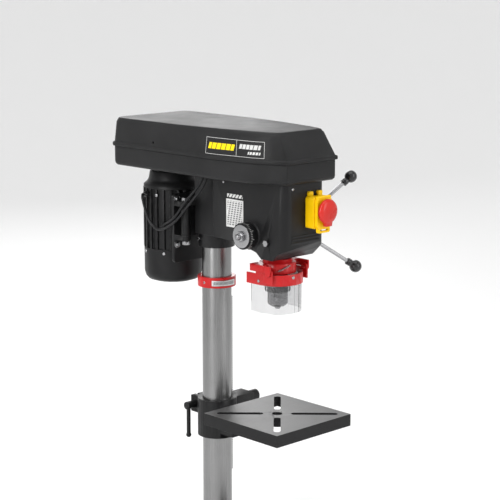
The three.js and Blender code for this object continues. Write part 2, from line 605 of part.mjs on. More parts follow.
// ---------------------------------------------------------------- quill, spindle and chuck
function quill() {
  const flat = FEED.rackOffset - DEDENDUM * FEED.module - 2.5;
  const rackHalf = 7;
  const body = cut(
    rodZ(QUILL.radius, QUILL.bottom, QUILL.top, 0, SPINDLE_Y, ROUND_SIDES),
    block(-QUILL.radius, QUILL.radius, SPINDLE_Y + flat, SPINDLE_Y + QUILL.radius + THROUGH,
      FEED.z - 14, QUILL.top + THROUGH),
  );
  const edge = rackEdge(FEED.rackOffset, FEED.module, FEED.z - 12, QUILL.top, FEED.z);
  const outline = [
    [flat - 1, FEED.z - 13.9],
    [edge[0][0], FEED.z - 13.9],
    ...edge,
    [edge[0][0], QUILL.top],
    [flat - 1, QUILL.top],
  ].map(([out, z]) => [SPINDLE_Y + out, z]);
  return cut(
    join(body, prismX(shapeOf(outline), -rackHalf + 0.1, rackHalf - 0.1)),
    rodZ(SPINDLE.radius + FIT, QUILL.bottom - THROUGH, QUILL.top + THROUGH, 0, SPINDLE_Y, SIDES),
  );
}
add("quill", quill(), BRIGHT_STEEL);

add(
  "spindle",
  turned([
    [0, SPINDLE.bottom],
    [SPINDLE.radius - 2, SPINDLE.bottom],
    [SPINDLE.radius - 0.5, CHUCK.top + FIT],
    [13, CHUCK.top + FIT],
    [13, QUILL.bottom - FIT],
    [SPINDLE.radius, QUILL.bottom - FIT],
    [SPINDLE.radius, SPINDLE.top - 1],
    [SPINDLE.radius - 1, SPINDLE.top],
    [0, SPINDLE.top],
  ], SIDES).translate(0, SPINDLE_Y, 0),
  BRIGHT_STEEL,
);

// Jaws slide in three slots that open downwards. The key's pilot holes stand between them.
const jawAngles = [30, 150, 270].map(THREE.MathUtils.degToRad);
function chuckBody() {
  const outer = turned([
    [0, CHUCK.bottom],
    [CHUCK.body - 9, CHUCK.bottom],
    [CHUCK.body - 2, CHUCK.bottom + 5],
    [CHUCK.body, CHUCK.bottom + 9],
    [CHUCK.body, CHUCK.top - 3],
    [CHUCK.body - 3, CHUCK.top],
    [0, CHUCK.top],
  ], SIDES);
  const slotReach = JAW.outer + JAW.travel + 1;
  const slots = jawAngles.map((angle) =>
    block(0, slotReach, -JAW.width / 2 - FIT, JAW.width / 2 + FIT, CHUCK.bottom - THROUGH, JAW.top + 1)
      .rotateZ(angle));
  const keyHoles = jawAngles.map((angle) =>
    rodX(4, CHUCK.body - 6, CHUCK.body + 4, 0, CHUCK.sleeveBottom - 7, 12).rotateZ(angle + Math.PI / 3));
  const socket = turned([
    [0, SPINDLE.bottom - 2],
    [SPINDLE.radius - 2 + FIT, SPINDLE.bottom - 2],
    [SPINDLE.radius - 0.5 + FIT, CHUCK.top + THROUGH],
    [0, CHUCK.top + THROUGH],
  ], SIDES);
  return cut(outer, ...slots, ...keyHoles, socket).translate(0, SPINDLE_Y, 0);
}
add("chuck_body", chuckBody(), BRIGHT_STEEL);

add(
  "chuck_sleeve",
  turned([
    [CHUCK.body + FIT, CHUCK.sleeveBottom],
    [CHUCK.sleeve - 3, CHUCK.sleeveBottom],
    [CHUCK.sleeve, CHUCK.sleeveBottom + 5],
    [CHUCK.sleeve, CHUCK.sleeveTop - 2],
    [CHUCK.sleeve - 2, CHUCK.sleeveTop],
    [CHUCK.body + FIT, CHUCK.sleeveTop],
    [CHUCK.body + FIT, CHUCK.sleeveBottom],
  ], SIDES).translate(0, SPINDLE_Y, 0),
  BRUSHED_STEEL,
);

jawAngles.forEach((angle, i) => {
  const outline = shapeOf([
    [JAW.inner, CHUCK.tips],
    [JAW.inner + 3, CHUCK.tips],
    [JAW.outer, CHUCK.bottom + 8],
    [JAW.outer, JAW.top],
    [JAW.inner, JAW.top],
  ]);
  const jaw = prismY(outline, -JAW.width / 2, JAW.width / 2).rotateZ(angle).translate(0, SPINDLE_Y, 0);
  add("chuck_jaw_" + (i + 1), jaw, BRIGHT_STEEL);
});

// ---------------------------------------------------------------- feed: pinion, hub, rods and knobs
const capInner = -HEAD.half - 3 - FIT; // the spring cap sits against the head's left boss
const capOuter = capInner - SPRING_CAP.depth;
const washerOuter = capOuter - FIT - SPRING_CAP.washerThickness;
const nutOuter = washerOuter - FIT - SPRING_CAP.nutLength;
const hubInner = HEAD.half + 5 + FIT;
const shaftBore = FEED.shaft + FIT;

const pinionShaft = join(
  prismX(gearShape(FEED.teeth, FEED.module), -FEED.face / 2, FEED.face / 2),
  rodX(FEED.shaft, nutOuter - 4, HANDLE.hubEnd - 8, 0, 0, SMALL_SIDES),
  rodX(FEED_BORE - FIT, -HEAD.half - 2, -HEAD.half + 5, 0, 0, SIDES),
  rodX(FEED_BORE - FIT, HEAD.half - 5, HEAD.half + 4, 0, 0, SIDES),
).translate(0, FEED_Y, FEED.z);
add("pinion_shaft", pinionShaft, BRIGHT_STEEL);

const aboutFeed = (geometry) => geometry.rotateY(Math.PI / 2).translate(0, FEED_Y, FEED.z);
const springCap = ring(SPRING_CAP.radius, shaftBore, capOuter, capInner);
const capNotches = [0, 1, 2, 3].map((i) =>
  block(SPRING_CAP.radius - 4, SPRING_CAP.radius + 2, -3, 3, capOuter - THROUGH, capOuter + 9)
    .rotateZ((i * Math.PI) / 2 + 0.4));
add("spring_cap", aboutFeed(cut(springCap, ...capNotches)), CAST_BLACK);
add("spring_cap_washer", aboutFeed(ring(SPRING_CAP.washer, shaftBore, washerOuter, capOuter - FIT)),
  BRIGHT_STEEL);
add(
  "spring_cap_nut",
  aboutFeed(cut(
    hexRod(2 * SPRING_CAP.nut, nutOuter, washerOuter - FIT),
    rodZ(shaftBore, nutOuter - THROUGH, washerOuter + THROUGH, 0, 0, SMALL_SIDES),
  )),
  BRIGHT_STEEL,
);

const splay = Math.atan2(HANDLE.knobRadius, HANDLE.knobX - HANDLE.apex);
const rodLength = Math.hypot(HANDLE.knobRadius, HANDLE.knobX - HANDLE.apex);
const rodStart = 17; // along the rod's line, from where the three lines meet
const handleAngles = [0, 120, 240].map((turn) => THREE.MathUtils.degToRad(HANDLE_FIRST_ANGLE - turn));

// Lays a piece made along +Z on a feed rod's line: out along +X, splayed, and turned about the feed axis.
const alongRod = (geometry, angle) =>
  geometry
    .rotateX(splay)
    .rotateY(Math.PI / 2)
    .rotateX(-angle)
    .translate(HANDLE.apex, FEED_Y, FEED.z);

const hubBody = aboutFeed(turned([
  [shaftBore, hubInner],
  [HANDLE.hub - 4, hubInner],
  [HANDLE.hub, hubInner + 4],
  [HANDLE.hub, HANDLE.hubEnd - 14],
  [HANDLE.hub - 8, HANDLE.hubEnd],
  [0, HANDLE.hubEnd],
  [0, HANDLE.hubEnd - 7],
  [shaftBore, HANDLE.hubEnd - 7],
  [shaftBore, hubInner],
]));
const rodHoles = handleAngles.map((angle) =>
  alongRod(rodZ(HANDLE.rod + FIT, rodStart - 1, 80, 0, 0, SMALL_SIDES), angle));
add("feed_hub", cut(hubBody, ...rodHoles), CAST_BLACK);

const ballSeat = rodLength - HANDLE.ball; // where the ball begins
handleAngles.forEach((angle, i) => {
  add("feed_rod_" + (i + 1), alongRod(rodZ(HANDLE.rod, rodStart, ballSeat, 0, 0, SMALL_SIDES), angle),
    BRIGHT_STEEL);
  const knob = turned([
    [0, ballSeat + FIT],
    [HANDLE.rod + FIT, ballSeat + FIT],
    [HANDLE.rod + FIT, ballSeat - 8],
    [8, ballSeat - 8],
    [9, ballSeat - 2],
    [8, ballSeat + 1.5],
    [11.5, rodLength - 9],
    [HANDLE.ball, rodLength - 1],
    [13.4, rodLength + 6],
    [9.5, rodLength + 11.2],
    [4.5, rodLength + 14],
    [0, rodLength + HANDLE.ball],
  ], SIDES);
  add("feed_knob_" + (i + 1), alongRod(knob, angle), BLACK_PLASTIC);
});

// ---------------------------------------------------------------- belt cover
function coverOutline(plan) {
  const last = plan.y.length - 1;
  const right = plan.y.map((y, i) => new THREE.Vector2(plan.half[i], y));
  const half = plan.half[last];
  const corner = [];
  for (let i = 0; i <= 4; i += 1) {
    const angle = (i * Math.PI) / 8;
    corner.push(new THREE.Vector2(
      half - COVER.rearRound * (1 - Math.cos(angle)),
      plan.rear - COVER.rearRound * (1 - Math.sin(angle)),
    ));
  }
  const side = [...right, ...corner];
  const mirrored = [...side].reverse().map((p) => new THREE.Vector2(-p.x, p.y));
  return [...side, ...mirrored];
}

const lipOutline = coverOutline(COVER_PLAN);
const wallOutline = inset(lipOutline, COVER.lipOut);
const roomOutline = inset(wallOutline, COVER.wall);
const creaseOutline = coverOutline(CREASE_PLAN);
const topOutline = coverOutline(TOP_PLAN);
const hingeX = COVER_PLAN.half[4] + LID_HINGE.out;
const hingeZ = COVER.lip;

// Hinge knuckles stand on the cover's right side in turn: tray, lid, a gap, lid, tray.
const knuckleStarts = {
  tray: [LID_HINGE.from, LID_HINGE.to - LID_HINGE.knuckle],
  lid: [LID_HINGE.from + LID_HINGE.knuckle + FIT, LID_HINGE.to - 2 * LID_HINGE.knuckle - FIT],
};
const knuckle = (from, webX, z0, z1) => [
  rodY(LID_HINGE.radius, from, from + LID_HINGE.knuckle, hingeX, hingeZ, SMALL_SIDES),
  block(webX, hingeX, from, from + LID_HINGE.knuckle, z0, z1),
];
const pinHole = rodY(LID_HINGE.pin + FIT, LID_HINGE.from - THROUGH, LID_HINGE.to + THROUGH, hingeX, hingeZ, 12);

function beltTray() {
  const bottomEdge = inset(wallOutline, 5);
  const shell = cut(
    loft([
      level(bottomEdge, COVER.bottom),
      level(inset(wallOutline, 1), COVER.bottom + 4),
      level(wallOutline, COVER.bottom + 9),
      level(wallOutline, COVER.lip - FIT),
    ]),
    loft([level(inset(bottomEdge, COVER.wall), COVER_FLOOR), level(roomOutline, COVER.bottom + 10),
      level(roomOutline, COVER.lip + THROUGH)]),
  );
  const webs = knuckleStarts.tray.flatMap((from) =>
    knuckle(from, COVER_PLAN.half[4] - COVER.lipOut - 1.5, hingeZ - LID_HINGE.radius, hingeZ - FIT));
  const motorSlot = MOTOR.shaft + 9;
  return cut(
    join(shell, ...webs),
    pinHole,
    rodZ(PULLEY_HUB + 3, COVER.bottom - THROUGH, COVER_FLOOR + THROUGH, 0, SPINDLE_Y),
    rodZ(IDLER.post + FIT, COVER.bottom - THROUGH, COVER_FLOOR + THROUGH, 0, IDLER.y, SMALL_SIDES),
    prismZ(slotShape(-10, MOTOR.y - 6, 10, MOTOR.y + 6, 2 * motorSlot), COVER.bottom - THROUGH,
      COVER_FLOOR + THROUGH),
  );
}
const PULLEY_HUB = 16;
add("belt_tray", beltTray(), COVER_GREY);

function coverLid() {
  const inner = (outline) => inset(outline, COVER.wall);
  const shell = cut(
    loft([
      level(inset(lipOutline, 1), COVER.lip),
      level(lipOutline, COVER.lip + 2),
      level(lipOutline, COVER.lip + COVER.lipDepth - 2),
      level(inset(lipOutline, 1.5), COVER.lip + COVER.lipDepth),
      level(wallOutline, COVER.lip + COVER.lipDepth + 1),
      level(creaseOutline, CREASE_Z),
      level(inset(topOutline, -2.5), COVER.top - 1),
      level(topOutline, COVER.top),
    ]),
    loft([
      level(roomOutline, COVER.lip - THROUGH),
      level(roomOutline, COVER.lip + COVER.lipDepth + 1),
      level(inner(creaseOutline), CREASE_Z - 2),
      level(inner(topOutline), COVER.top - COVER.wall),
    ]),
  );
  const webs = knuckleStarts.lid.flatMap((from) =>
    knuckle(from, COVER_PLAN.half[4] - COVER.lipOut, hingeZ + FIT, hingeZ + LID_HINGE.radius));
  return cut(
    join(shell, ...webs),
    pinHole,
    rodX(LID_SIGHT_HOLE.radius, -COVER_PLAN.half[4], -COVER_PLAN.half[4] + 20, LID_SIGHT_HOLE.y,
      LID_SIGHT_HOLE.z, 12),
  );
}
add("cover_lid", coverLid(), COVER_GREY);
add("lid_hinge_pin", rodY(LID_HINGE.pin, LID_HINGE.from - 1, LID_HINGE.to + 1, hingeX, hingeZ, 12), BRIGHT_STEEL);

// ---------------------------------------------------------------- pulleys and belts
// A stepped pulley with one groove on each step, radii listed from the bottom step up.
function pulley(radii, bore, hub) {
  const outline = [[bore, hub.from], [hub.radius, hub.from], [hub.radius, PULLEY.bottom]];
  radii.forEach((radius, i) => {
    const z = PULLEY.bottom + i * PULLEY.pitch;
    outline.push(
      [radius, z],
      [radius - PULLEY.groove, z + PULLEY.land],
      [radius - PULLEY.groove, z + PULLEY.pitch - PULLEY.land],
      [radius, z + PULLEY.pitch],
    );
  });
  const top = PULLEY.bottom + radii.length * PULLEY.pitch;
  outline.push([bore, top], [bore, hub.from]);
  return turned(outline.filter(([r, z], i) => {
    const [pr, pz] = outline[(i + outline.length - 1) % outline.length];
    return i === 0 || Math.hypot(r - pr, z - pz) > 0.01;
  }), PULLEY_SIDES);
}
const rising = [...PULLEY.steps].reverse();
const falling = PULLEY.steps;
const pulleyHub = { radius: PULLEY_HUB, from: NOSE.top + FIT };
add("spindle_pulley", pulley(rising, SPINDLE.radius + FIT, pulleyHub).translate(0, SPINDLE_Y, 0), CAST_ALUMINIUM);
const idlerRadii = [46, 43, 37, 30];
add(
  "idler_pulley",
  pulley(idlerRadii, IDLER.post + FIT, { radius: 14, from: COVER_FLOOR + FIT }).translate(0, IDLER.y, 0),
  CAST_ALUMINIUM,
);
add(
  "idler_post",
  rodZ(IDLER.post, IDLER_POST_FROM, PULLEY.bottom + PULLEY.steps.length * PULLEY.pitch + 6, 0, IDLER.y, SMALL_SIDES),
  BRIGHT_STEEL,
);
add(
  "motor_pulley",
  pulley(falling, MOTOR.shaft + FIT, { radius: 14, from: COVER_FLOOR + 3 }).translate(0, MOTOR.y, 0),
  CAST_ALUMINIUM,
);

// A belt round two pulleys on the Y axis, lying in the grooves of one step of each.
function belt(y0, radius0, y1, radius1, step) {
  const tangent = Math.asin((radius0 - radius1) / (y1 - y0));
  const loop = (offset) => {
    const path = new THREE.Shape();
    path.absarc(0, y1, radius1 + offset, -tangent, Math.PI + tangent);
    path.absarc(0, y0, radius0 + offset, Math.PI + tangent, 2 * Math.PI - tangent);
    return path.getPoints(8).slice(0, -1);
  };
  const z = PULLEY.bottom + step * PULLEY.pitch + (PULLEY.pitch - BELT.height) / 2;
  const shape = new THREE.Shape(loop(0.5));
  shape.holes.push(new THREE.Path(loop(0.5 - BELT.thickness)));
  return prismZ(shape, z, z + BELT.height);
}
add("front_belt", belt(SPINDLE_Y, rising[FRONT_BELT_STEP], IDLER.y, idlerRadii[FRONT_BELT_STEP], FRONT_BELT_STEP),
  RUBBER);
add("rear_belt", belt(IDLER.y, idlerRadii[REAR_BELT_STEP], MOTOR.y, falling[REAR_BELT_STEP], REAR_BELT_STEP),
  RUBBER);

// ---------------------------------------------------------------- motor and its pivoting plate
function motorHousing() {
  const points = [];
  for (let i = 0; i < MOTOR.fins; i += 1) {
    const middle = (i * 2 * Math.PI) / MOTOR.fins;
    const half = Math.PI / MOTOR.fins;
    for (const [turn, radius] of [[-0.6, MOTOR_CORE], [-0.34, MOTOR_CORE], [-0.26, MOTOR.radius],
      [0.26, MOTOR.radius], [0.34, MOTOR_CORE]]) {
      points.push([radius * Math.cos(middle + turn * half), radius * Math.sin(middle + turn * half)]);
    }
  }
  const finned = prismZ(shapeOf(points), MOTOR.bottom, MOTOR.top);
  const foot = block(-34, 34, MOTOR_PLATE.back + FIT - MOTOR.y, -MOTOR_CORE + 12, MOTOR.bottom + 12, MOTOR.top - 12);
  return cut(
    join(finned, foot),
    rodZ(MOTOR.shaft + FIT, MOTOR.bottom - THROUGH, MOTOR.top + THROUGH, 0, 0, SMALL_SIDES),
  ).translate(0, MOTOR.y, 0);
}
add("motor_housing", motorHousing(), CAST_BLACK);

add(
  "motor_bell",
  turned([
    [MOTOR.shaft + FIT, MOTOR.top + FIT],
    [MOTOR.radius - 1, MOTOR.top + FIT],
    [MOTOR.radius - 1, MOTOR.top + 8],
    [MOTOR_BELL.radius + 4, MOTOR.top + 15],
    [MOTOR_BELL.radius, MOTOR.top + 22],
    [MOTOR_BELL.radius - 3, MOTOR_BELL.top - 3],
    [MOTOR_BELL.radius - 8, MOTOR_BELL.top],
    [MOTOR.shaft + FIT, MOTOR_BELL.top],
    [MOTOR.shaft + FIT, MOTOR.top + FIT],
  ], SIDES).translate(0, MOTOR.y, 0),
  CAST_BLACK,
);

function fanCowl() {
  const top = MOTOR.bottom - FIT;
  const wall = (offset, z) => [
    [MOTOR.radius - 1 - offset, z],
    [MOTOR.radius - 1 - offset, COWL.bottom + COWL.round],
    [MOTOR.radius - 4 - offset, COWL.bottom + 0.5 * COWL.round + offset / 2],
    [MOTOR.radius - 10 - offset, COWL.bottom + 0.18 * COWL.round + offset / 2],
    [MOTOR.radius - COWL.round - offset, COWL.bottom + offset],
  ];
  const shell = turned([
    ...wall(0, top),
    [COWL.inlet, COWL.bottom],
    [COWL.inlet, COWL.bottom + COWL.wall],
    ...wall(COWL.wall, top).reverse(),
    wall(0, top)[0],
  ], SIDES);
  const spokes = [0, 1].map((i) =>
    block(-COWL.inlet - 2, COWL.inlet + 2, -2, 2, COWL.bottom, COWL.bottom + COWL.wall).rotateZ((i * Math.PI) / 2));
  return join(shell, ...spokes).translate(0, MOTOR.y, 0);
}
add("fan_cowl", fanCowl(), CAST_BLACK);

function motorShaft() {
  const fanZ = COWL.bottom + 34;
  const blades = [0, 1, 2, 3, 4, 5].map((i) =>
    block(12, MOTOR_CORE - 10, -1.2, 1.2, fanZ, fanZ + 26).rotateZ((i * Math.PI) / 3));
  return join(
    rodZ(MOTOR.shaft, fanZ - 2, PULLEY.bottom + PULLEY.steps.length * PULLEY.pitch + 4, 0, 0, SMALL_SIDES),
    rodZ(MOTOR_CORE - 12, fanZ + 24, fanZ + 28, 0, 0, SIDES),
    ...blades,
  ).translate(0, MOTOR.y, 0);
}
add("motor_shaft", motorShaft(), BRIGHT_STEEL);

function motorBracket() {
  const forkArm = (z) => join(
    rodZ(PIVOT.lug, z, z + PIVOT.fork, PIVOT.x, PIVOT.y, SIDES),
    block(PIVOT.x - PIVOT.lug, PIVOT.x + PIVOT.lug, PIVOT.y, PLATE_FRONT + 2, z, z + PIVOT.fork),
  );
  const upper = forkArm(PIVOT.lugTop + FIT);
  const lower = forkArm(PIVOT.lugBottom - FIT - PIVOT.fork);
  const plateShape = roundedRectangle(PIVOT.x - PIVOT.lug, MOTOR_PLATE.half, MOTOR_PLATE.bottom,
    MOTOR_PLATE.top, 8);
  const hole = rodZ(PIVOT.bolt + FIT, MOTOR_PLATE.bottom, MOTOR_PLATE.top + 20, PIVOT.x, PIVOT.y, SMALL_SIDES);
  return cut(join(prismY(plateShape, PLATE_FRONT, MOTOR_PLATE.back), upper, lower), hole);
}
add("motor_bracket", motorBracket(), CAST_BLACK);

const pivotBolt = join(hexRod(2 * PIVOT.boltHead - 1, 0, 9), rodZ(PIVOT.bolt, -PIVOT.fork - 26, 1, 0, 0, SMALL_SIDES));
add("motor_pivot_bolt_1", pivotBolt.clone().translate(PIVOT.x, PIVOT.y, PIVOT.lugTop + PIVOT.fork + 2 * FIT),
  BRIGHT_STEEL);
add(
  "motor_pivot_bolt_2",
  pivotBolt.clone().rotateX(Math.PI).translate(PIVOT.x, PIVOT.y, PIVOT.lugBottom - PIVOT.fork - 2 * FIT),
  BRIGHT_STEEL,
);

add(
  "motor_gland",
  join(
    rodX(GLAND.radius, GLAND.end + 5, -MOTOR.radius - FIT, GLAND.y, GLAND.z, SMALL_SIDES),
    rodX(GLAND.radius - 2, GLAND.end, GLAND.end + 6, GLAND.y, GLAND.z, SMALL_SIDES),
  ),
  BLACK_PLASTIC,
);

LEAD_ROUTES.forEach((route, i) => {
  const path = new THREE.CatmullRomCurve3(route.map(([x, y, z]) => new THREE.Vector3(x, y, z)));
  const section = new THREE.Shape();
  section.absarc(0, 0, LEAD_RADIUS, 0, 2 * Math.PI);
  const lead = new THREE.ExtrudeGeometry(section, {
    steps: LEAD_STEPS,
    extrudePath: path,
    curveSegments: 4,
    bevelEnabled: false,
  });
  add("motor_lead_" + (i + 1), lead, RUBBER);
});

// ---------------------------------------------------------------- switch
function switchBox() {
  const right = SWITCH.left + SWITCH.width;
  const box = prismY(
    roundedRectangle(SWITCH.left, right, SWITCH.bottom, SWITCH.top, 4),
    SWITCH_FRONT,
    HEAD.front - FIT,
  );
  const ears = [SWITCH.left + 5, right - 17].map((x) =>
    prismY(roundedRectangle(x, x + 12, SWITCH.top - 4, SWITCH.top + 11, 3), HEAD.front - 8, HEAD.front - FIT));
  return cut(
    join(box, ...ears),
    rodY(START.radius + FIT, SWITCH_FRONT - THROUGH, SWITCH_FRONT + 10, SWITCH_MIDDLE, START.z, SMALL_SIDES),
  );
}
add("switch_box", switchBox(), SAFETY_YELLOW);
add(
  "start_button",
  rodY(START.radius, SWITCH_FRONT - START.out, SWITCH_FRONT + 10 - START.travel - FIT - 1, SWITCH_MIDDLE, START.z, SMALL_SIDES),
  START_GREEN,
);

const LID_BACK = SWITCH_FRONT - FIT;
const LID_FRONT = LID_BACK - SWITCH_LID.thickness;
function switchLid() {
  const left = SWITCH.left + 3;
  const right = SWITCH.left + SWITCH.width - 3;
  const shell = prismY(roundedRectangle(left, right, SWITCH.bottom + 2, SWITCH.top - 3, 5), LID_FRONT, LID_BACK);
  const hollow = block(left + 3, right - 3, LID_BACK - 5, LID_BACK + THROUGH, SWITCH.bottom + 5, SWITCH.top - 8);
  const latch = cut(
    prismY(roundedRectangle(left + 4, right - 4, SWITCH.bottom - 10, SWITCH.bottom + 6, 4), LID_FRONT + 1, LID_BACK),
    block(left + 10, right - 10, LID_FRONT - 1, LID_BACK + 1, SWITCH.bottom - 6, SWITCH.bottom - 2),
  );
  const barrel = rodX(SWITCH_LID.hinge, left + 2, right - 2, LID_BACK - SWITCH_LID.hinge, SWITCH.top - 1, SMALL_SIDES);
  return cut(
    join(cut(shell, hollow), latch, barrel),
    rodY(STOP.stem + FIT, LID_FRONT - THROUGH, LID_BACK + THROUGH, SWITCH_MIDDLE, STOP.z, SIDES),
  );
}
add("switch_lid", switchLid(), SAFETY_YELLOW);

// A mushroom head with a tongue that hangs below it, on a stem through the lid.
function stopButton() {
  const back = LID_FRONT - STOP.travel - 1;
  const front = back - STOP.thickness;
  const dome = turned([
    [0, 0],
    [STOP.radius - 2, 0],
    [STOP.radius, 2],
    [STOP.radius, 6],
    [STOP.radius - 2, 9.5],
    [STOP.radius - 6, 11.5],
    [STOP.radius - 12, STOP.thickness],
    [0, STOP.thickness],
  ], SIDES).rotateX(Math.PI / 2).translate(SWITCH_MIDDLE, back, STOP.z);
  const tongue = prismY(shapeOf([
    [SWITCH_MIDDLE - 12, STOP.z - 20],
    [SWITCH_MIDDLE - 9, STOP.z - STOP.radius - 5],
    [SWITCH_MIDDLE + 9, STOP.z - STOP.radius - 5],
    [SWITCH_MIDDLE + 12, STOP.z - 20],
  ]), front + 4, back);
  const stem = rodY(STOP.stem, back - 2, LID_BACK - 0.5 - STOP.travel, SWITCH_MIDDLE, STOP.z, SIDES);
  return join(dome, tongue, stem);
}
add("stop_button", stopButton(), STOP_RED);

// ---------------------------------------------------------------- chuck guard
// A U in plan, open at the back: a half round about the spindle with straight legs behind it.
function guardU(outer, wall, legRear) {
  const shape = new THREE.Shape();
  shape.moveTo(outer, legRear);
  shape.lineTo(outer - wall, legRear);
  shape.lineTo(outer - wall, 0);
  shape.absarc(0, 0, outer - wall, 0, Math.PI, true);
  shape.lineTo(-outer + wall, legRear);
  shape.lineTo(-outer, legRear);
  shape.lineTo(-outer, 0);
  shape.absarc(0, 0, outer, Math.PI, 2 * Math.PI, false);
  return shape;
}

function guardCollar() {
  const cup = turned([
    [NOSE.radius + FIT, GUARD_COLLAR.top - GUARD_COLLAR.plate],
    [GUARD_COLLAR.radius - GUARD_COLLAR.skirt, GUARD_COLLAR.top - GUARD_COLLAR.plate],
    [GUARD_COLLAR.radius - GUARD_COLLAR.skirt, GUARD_COLLAR.bottom],
    [GUARD_COLLAR.radius, GUARD_COLLAR.bottom],
    [GUARD_COLLAR.radius, GUARD_COLLAR.top],
    [NOSE.radius + FIT + 5, GUARD_COLLAR.top],
    [NOSE.radius + FIT + 5, GUARD_COLLAR.top + 9],
    [NOSE.radius + FIT, GUARD_COLLAR.top + 9],
    [NOSE.radius + FIT, GUARD_COLLAR.top - GUARD_COLLAR.plate],
  ], ROUND_SIDES).translate(0, SPINDLE_Y, 0);
  const parts = [cup];
  for (const side of [-1, 1]) {
    const span = (a, b) => [Math.min(side * a, side * b), Math.max(side * a, side * b)];
    const outside = GUARD_COLLAR.lug - GUARD_COLLAR.lugWall;
    const under = GUARD_COLLAR.top - GUARD_COLLAR.plate;
    parts.push(
      block(...span(GUARD_COLLAR.radius - 8, GUARD_COLLAR.lug), SPINDLE_Y - 8, SPINDLE_Y + 26, under,
        GUARD_COLLAR.top),
      block(...span(outside, GUARD_COLLAR.lug), GUARD_PIVOT_Y - 8, SPINDLE_Y + 26, GUARD_PIVOT.z,
        GUARD_COLLAR.top),
      rodX(8, ...span(outside, GUARD_COLLAR.lug), GUARD_PIVOT_Y, GUARD_PIVOT.z, SMALL_SIDES),
      rodX(GUARD_PIVOT.pin, ...span(GUARD.band - 5, outside + 1), GUARD_PIVOT_Y, GUARD_PIVOT.z, SMALL_SIDES),
    );
  }
  const clear = rodZ(GUARD_COLLAR.radius - GUARD_COLLAR.skirt, GUARD_COLLAR.bottom - 5,
    GUARD_COLLAR.top - GUARD_COLLAR.plate, 0, SPINDLE_Y, ROUND_SIDES);
  return cut(join(...parts), clear);
}
add("guard_collar", guardCollar(), GUARD_RED);

function guardRing() {
  const band = prismZ(guardU(GUARD.band, GUARD.bandWall, GUARD_PIVOT.legRear), GUARD.bandBottom, GUARD.bandTop)
    .translate(0, SPINDLE_Y, 0);
  const parts = [band];
  const holes = [];
  for (const side of [-1, 1]) {
    const inner = GUARD.band - 4;
    const [x0, x1] = side < 0 ? [-GUARD.band, -inner] : [inner, GUARD.band];
    parts.push(
      block(x0, x1, GUARD_PIVOT_Y - GUARD_PIVOT.ear, SPINDLE_Y + 12, GUARD.bandBottom + 6, GUARD_PIVOT.z),
      rodX(GUARD_PIVOT.ear, x0, x1, GUARD_PIVOT_Y, GUARD_PIVOT.z, SIDES),
    );
    holes.push(rodX(GUARD_PIVOT.pin + FIT, x0 - 3, x1 + 3, GUARD_PIVOT_Y, GUARD_PIVOT.z, SMALL_SIDES));
  }
  return cut(join(...parts), ...holes,
    prismZ(guardU(GUARD.band - GUARD.bandWall + 0.01, GUARD.shieldWall + 2 * FIT, GUARD_PIVOT.legRear),
      GUARD.bandBottom, GUARD.bandTop - 6).translate(0, SPINDLE_Y, 0));
}
add("guard_ring", guardRing(), GUARD_RED);

add(
  "guard_shield",
  prismZ(guardU(GUARD.band - GUARD.bandWall - FIT, GUARD.shieldWall, GUARD_PIVOT.legRear - 12),
    GUARD.shieldBottom, GUARD.bandTop - 7).translate(0, SPINDLE_Y, 0),
  CLEAR_PLASTIC,
);

export default group;
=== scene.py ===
import json
import math

import bmesh
import bpy
import numpy as np
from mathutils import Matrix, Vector


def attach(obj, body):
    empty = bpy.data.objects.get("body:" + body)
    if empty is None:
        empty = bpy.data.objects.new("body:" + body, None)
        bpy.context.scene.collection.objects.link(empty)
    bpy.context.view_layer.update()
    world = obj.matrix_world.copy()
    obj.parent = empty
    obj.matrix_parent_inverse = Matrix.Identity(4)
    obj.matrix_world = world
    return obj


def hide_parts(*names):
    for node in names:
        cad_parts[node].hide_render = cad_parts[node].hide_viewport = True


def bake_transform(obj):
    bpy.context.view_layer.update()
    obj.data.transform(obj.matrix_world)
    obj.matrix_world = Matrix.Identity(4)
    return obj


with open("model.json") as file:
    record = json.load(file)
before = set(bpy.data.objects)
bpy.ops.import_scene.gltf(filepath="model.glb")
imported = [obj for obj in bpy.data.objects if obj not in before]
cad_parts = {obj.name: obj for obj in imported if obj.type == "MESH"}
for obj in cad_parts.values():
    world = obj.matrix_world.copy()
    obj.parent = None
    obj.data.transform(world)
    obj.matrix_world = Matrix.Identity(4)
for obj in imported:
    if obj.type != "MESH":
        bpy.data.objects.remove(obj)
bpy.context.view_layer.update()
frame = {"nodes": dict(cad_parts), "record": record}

bl_info = {
    "name": "Bench drill press",
    "version": (1, 0, 0),
    "blender": (4, 5, 0),
    "location": "View3D > Sidebar > Drill press",
    "description": "Finishes, labels and small fittings for a bench drill press",
    "category": "Object",
}

RECORD = frame["record"]
SLOT_OF = {row["node"]: row["material_slot"] for row in RECORD["subparts"]}
BODY_OF = {node: body for body, nodes in RECORD["behaviour"]["bodies"].items() for node in nodes}

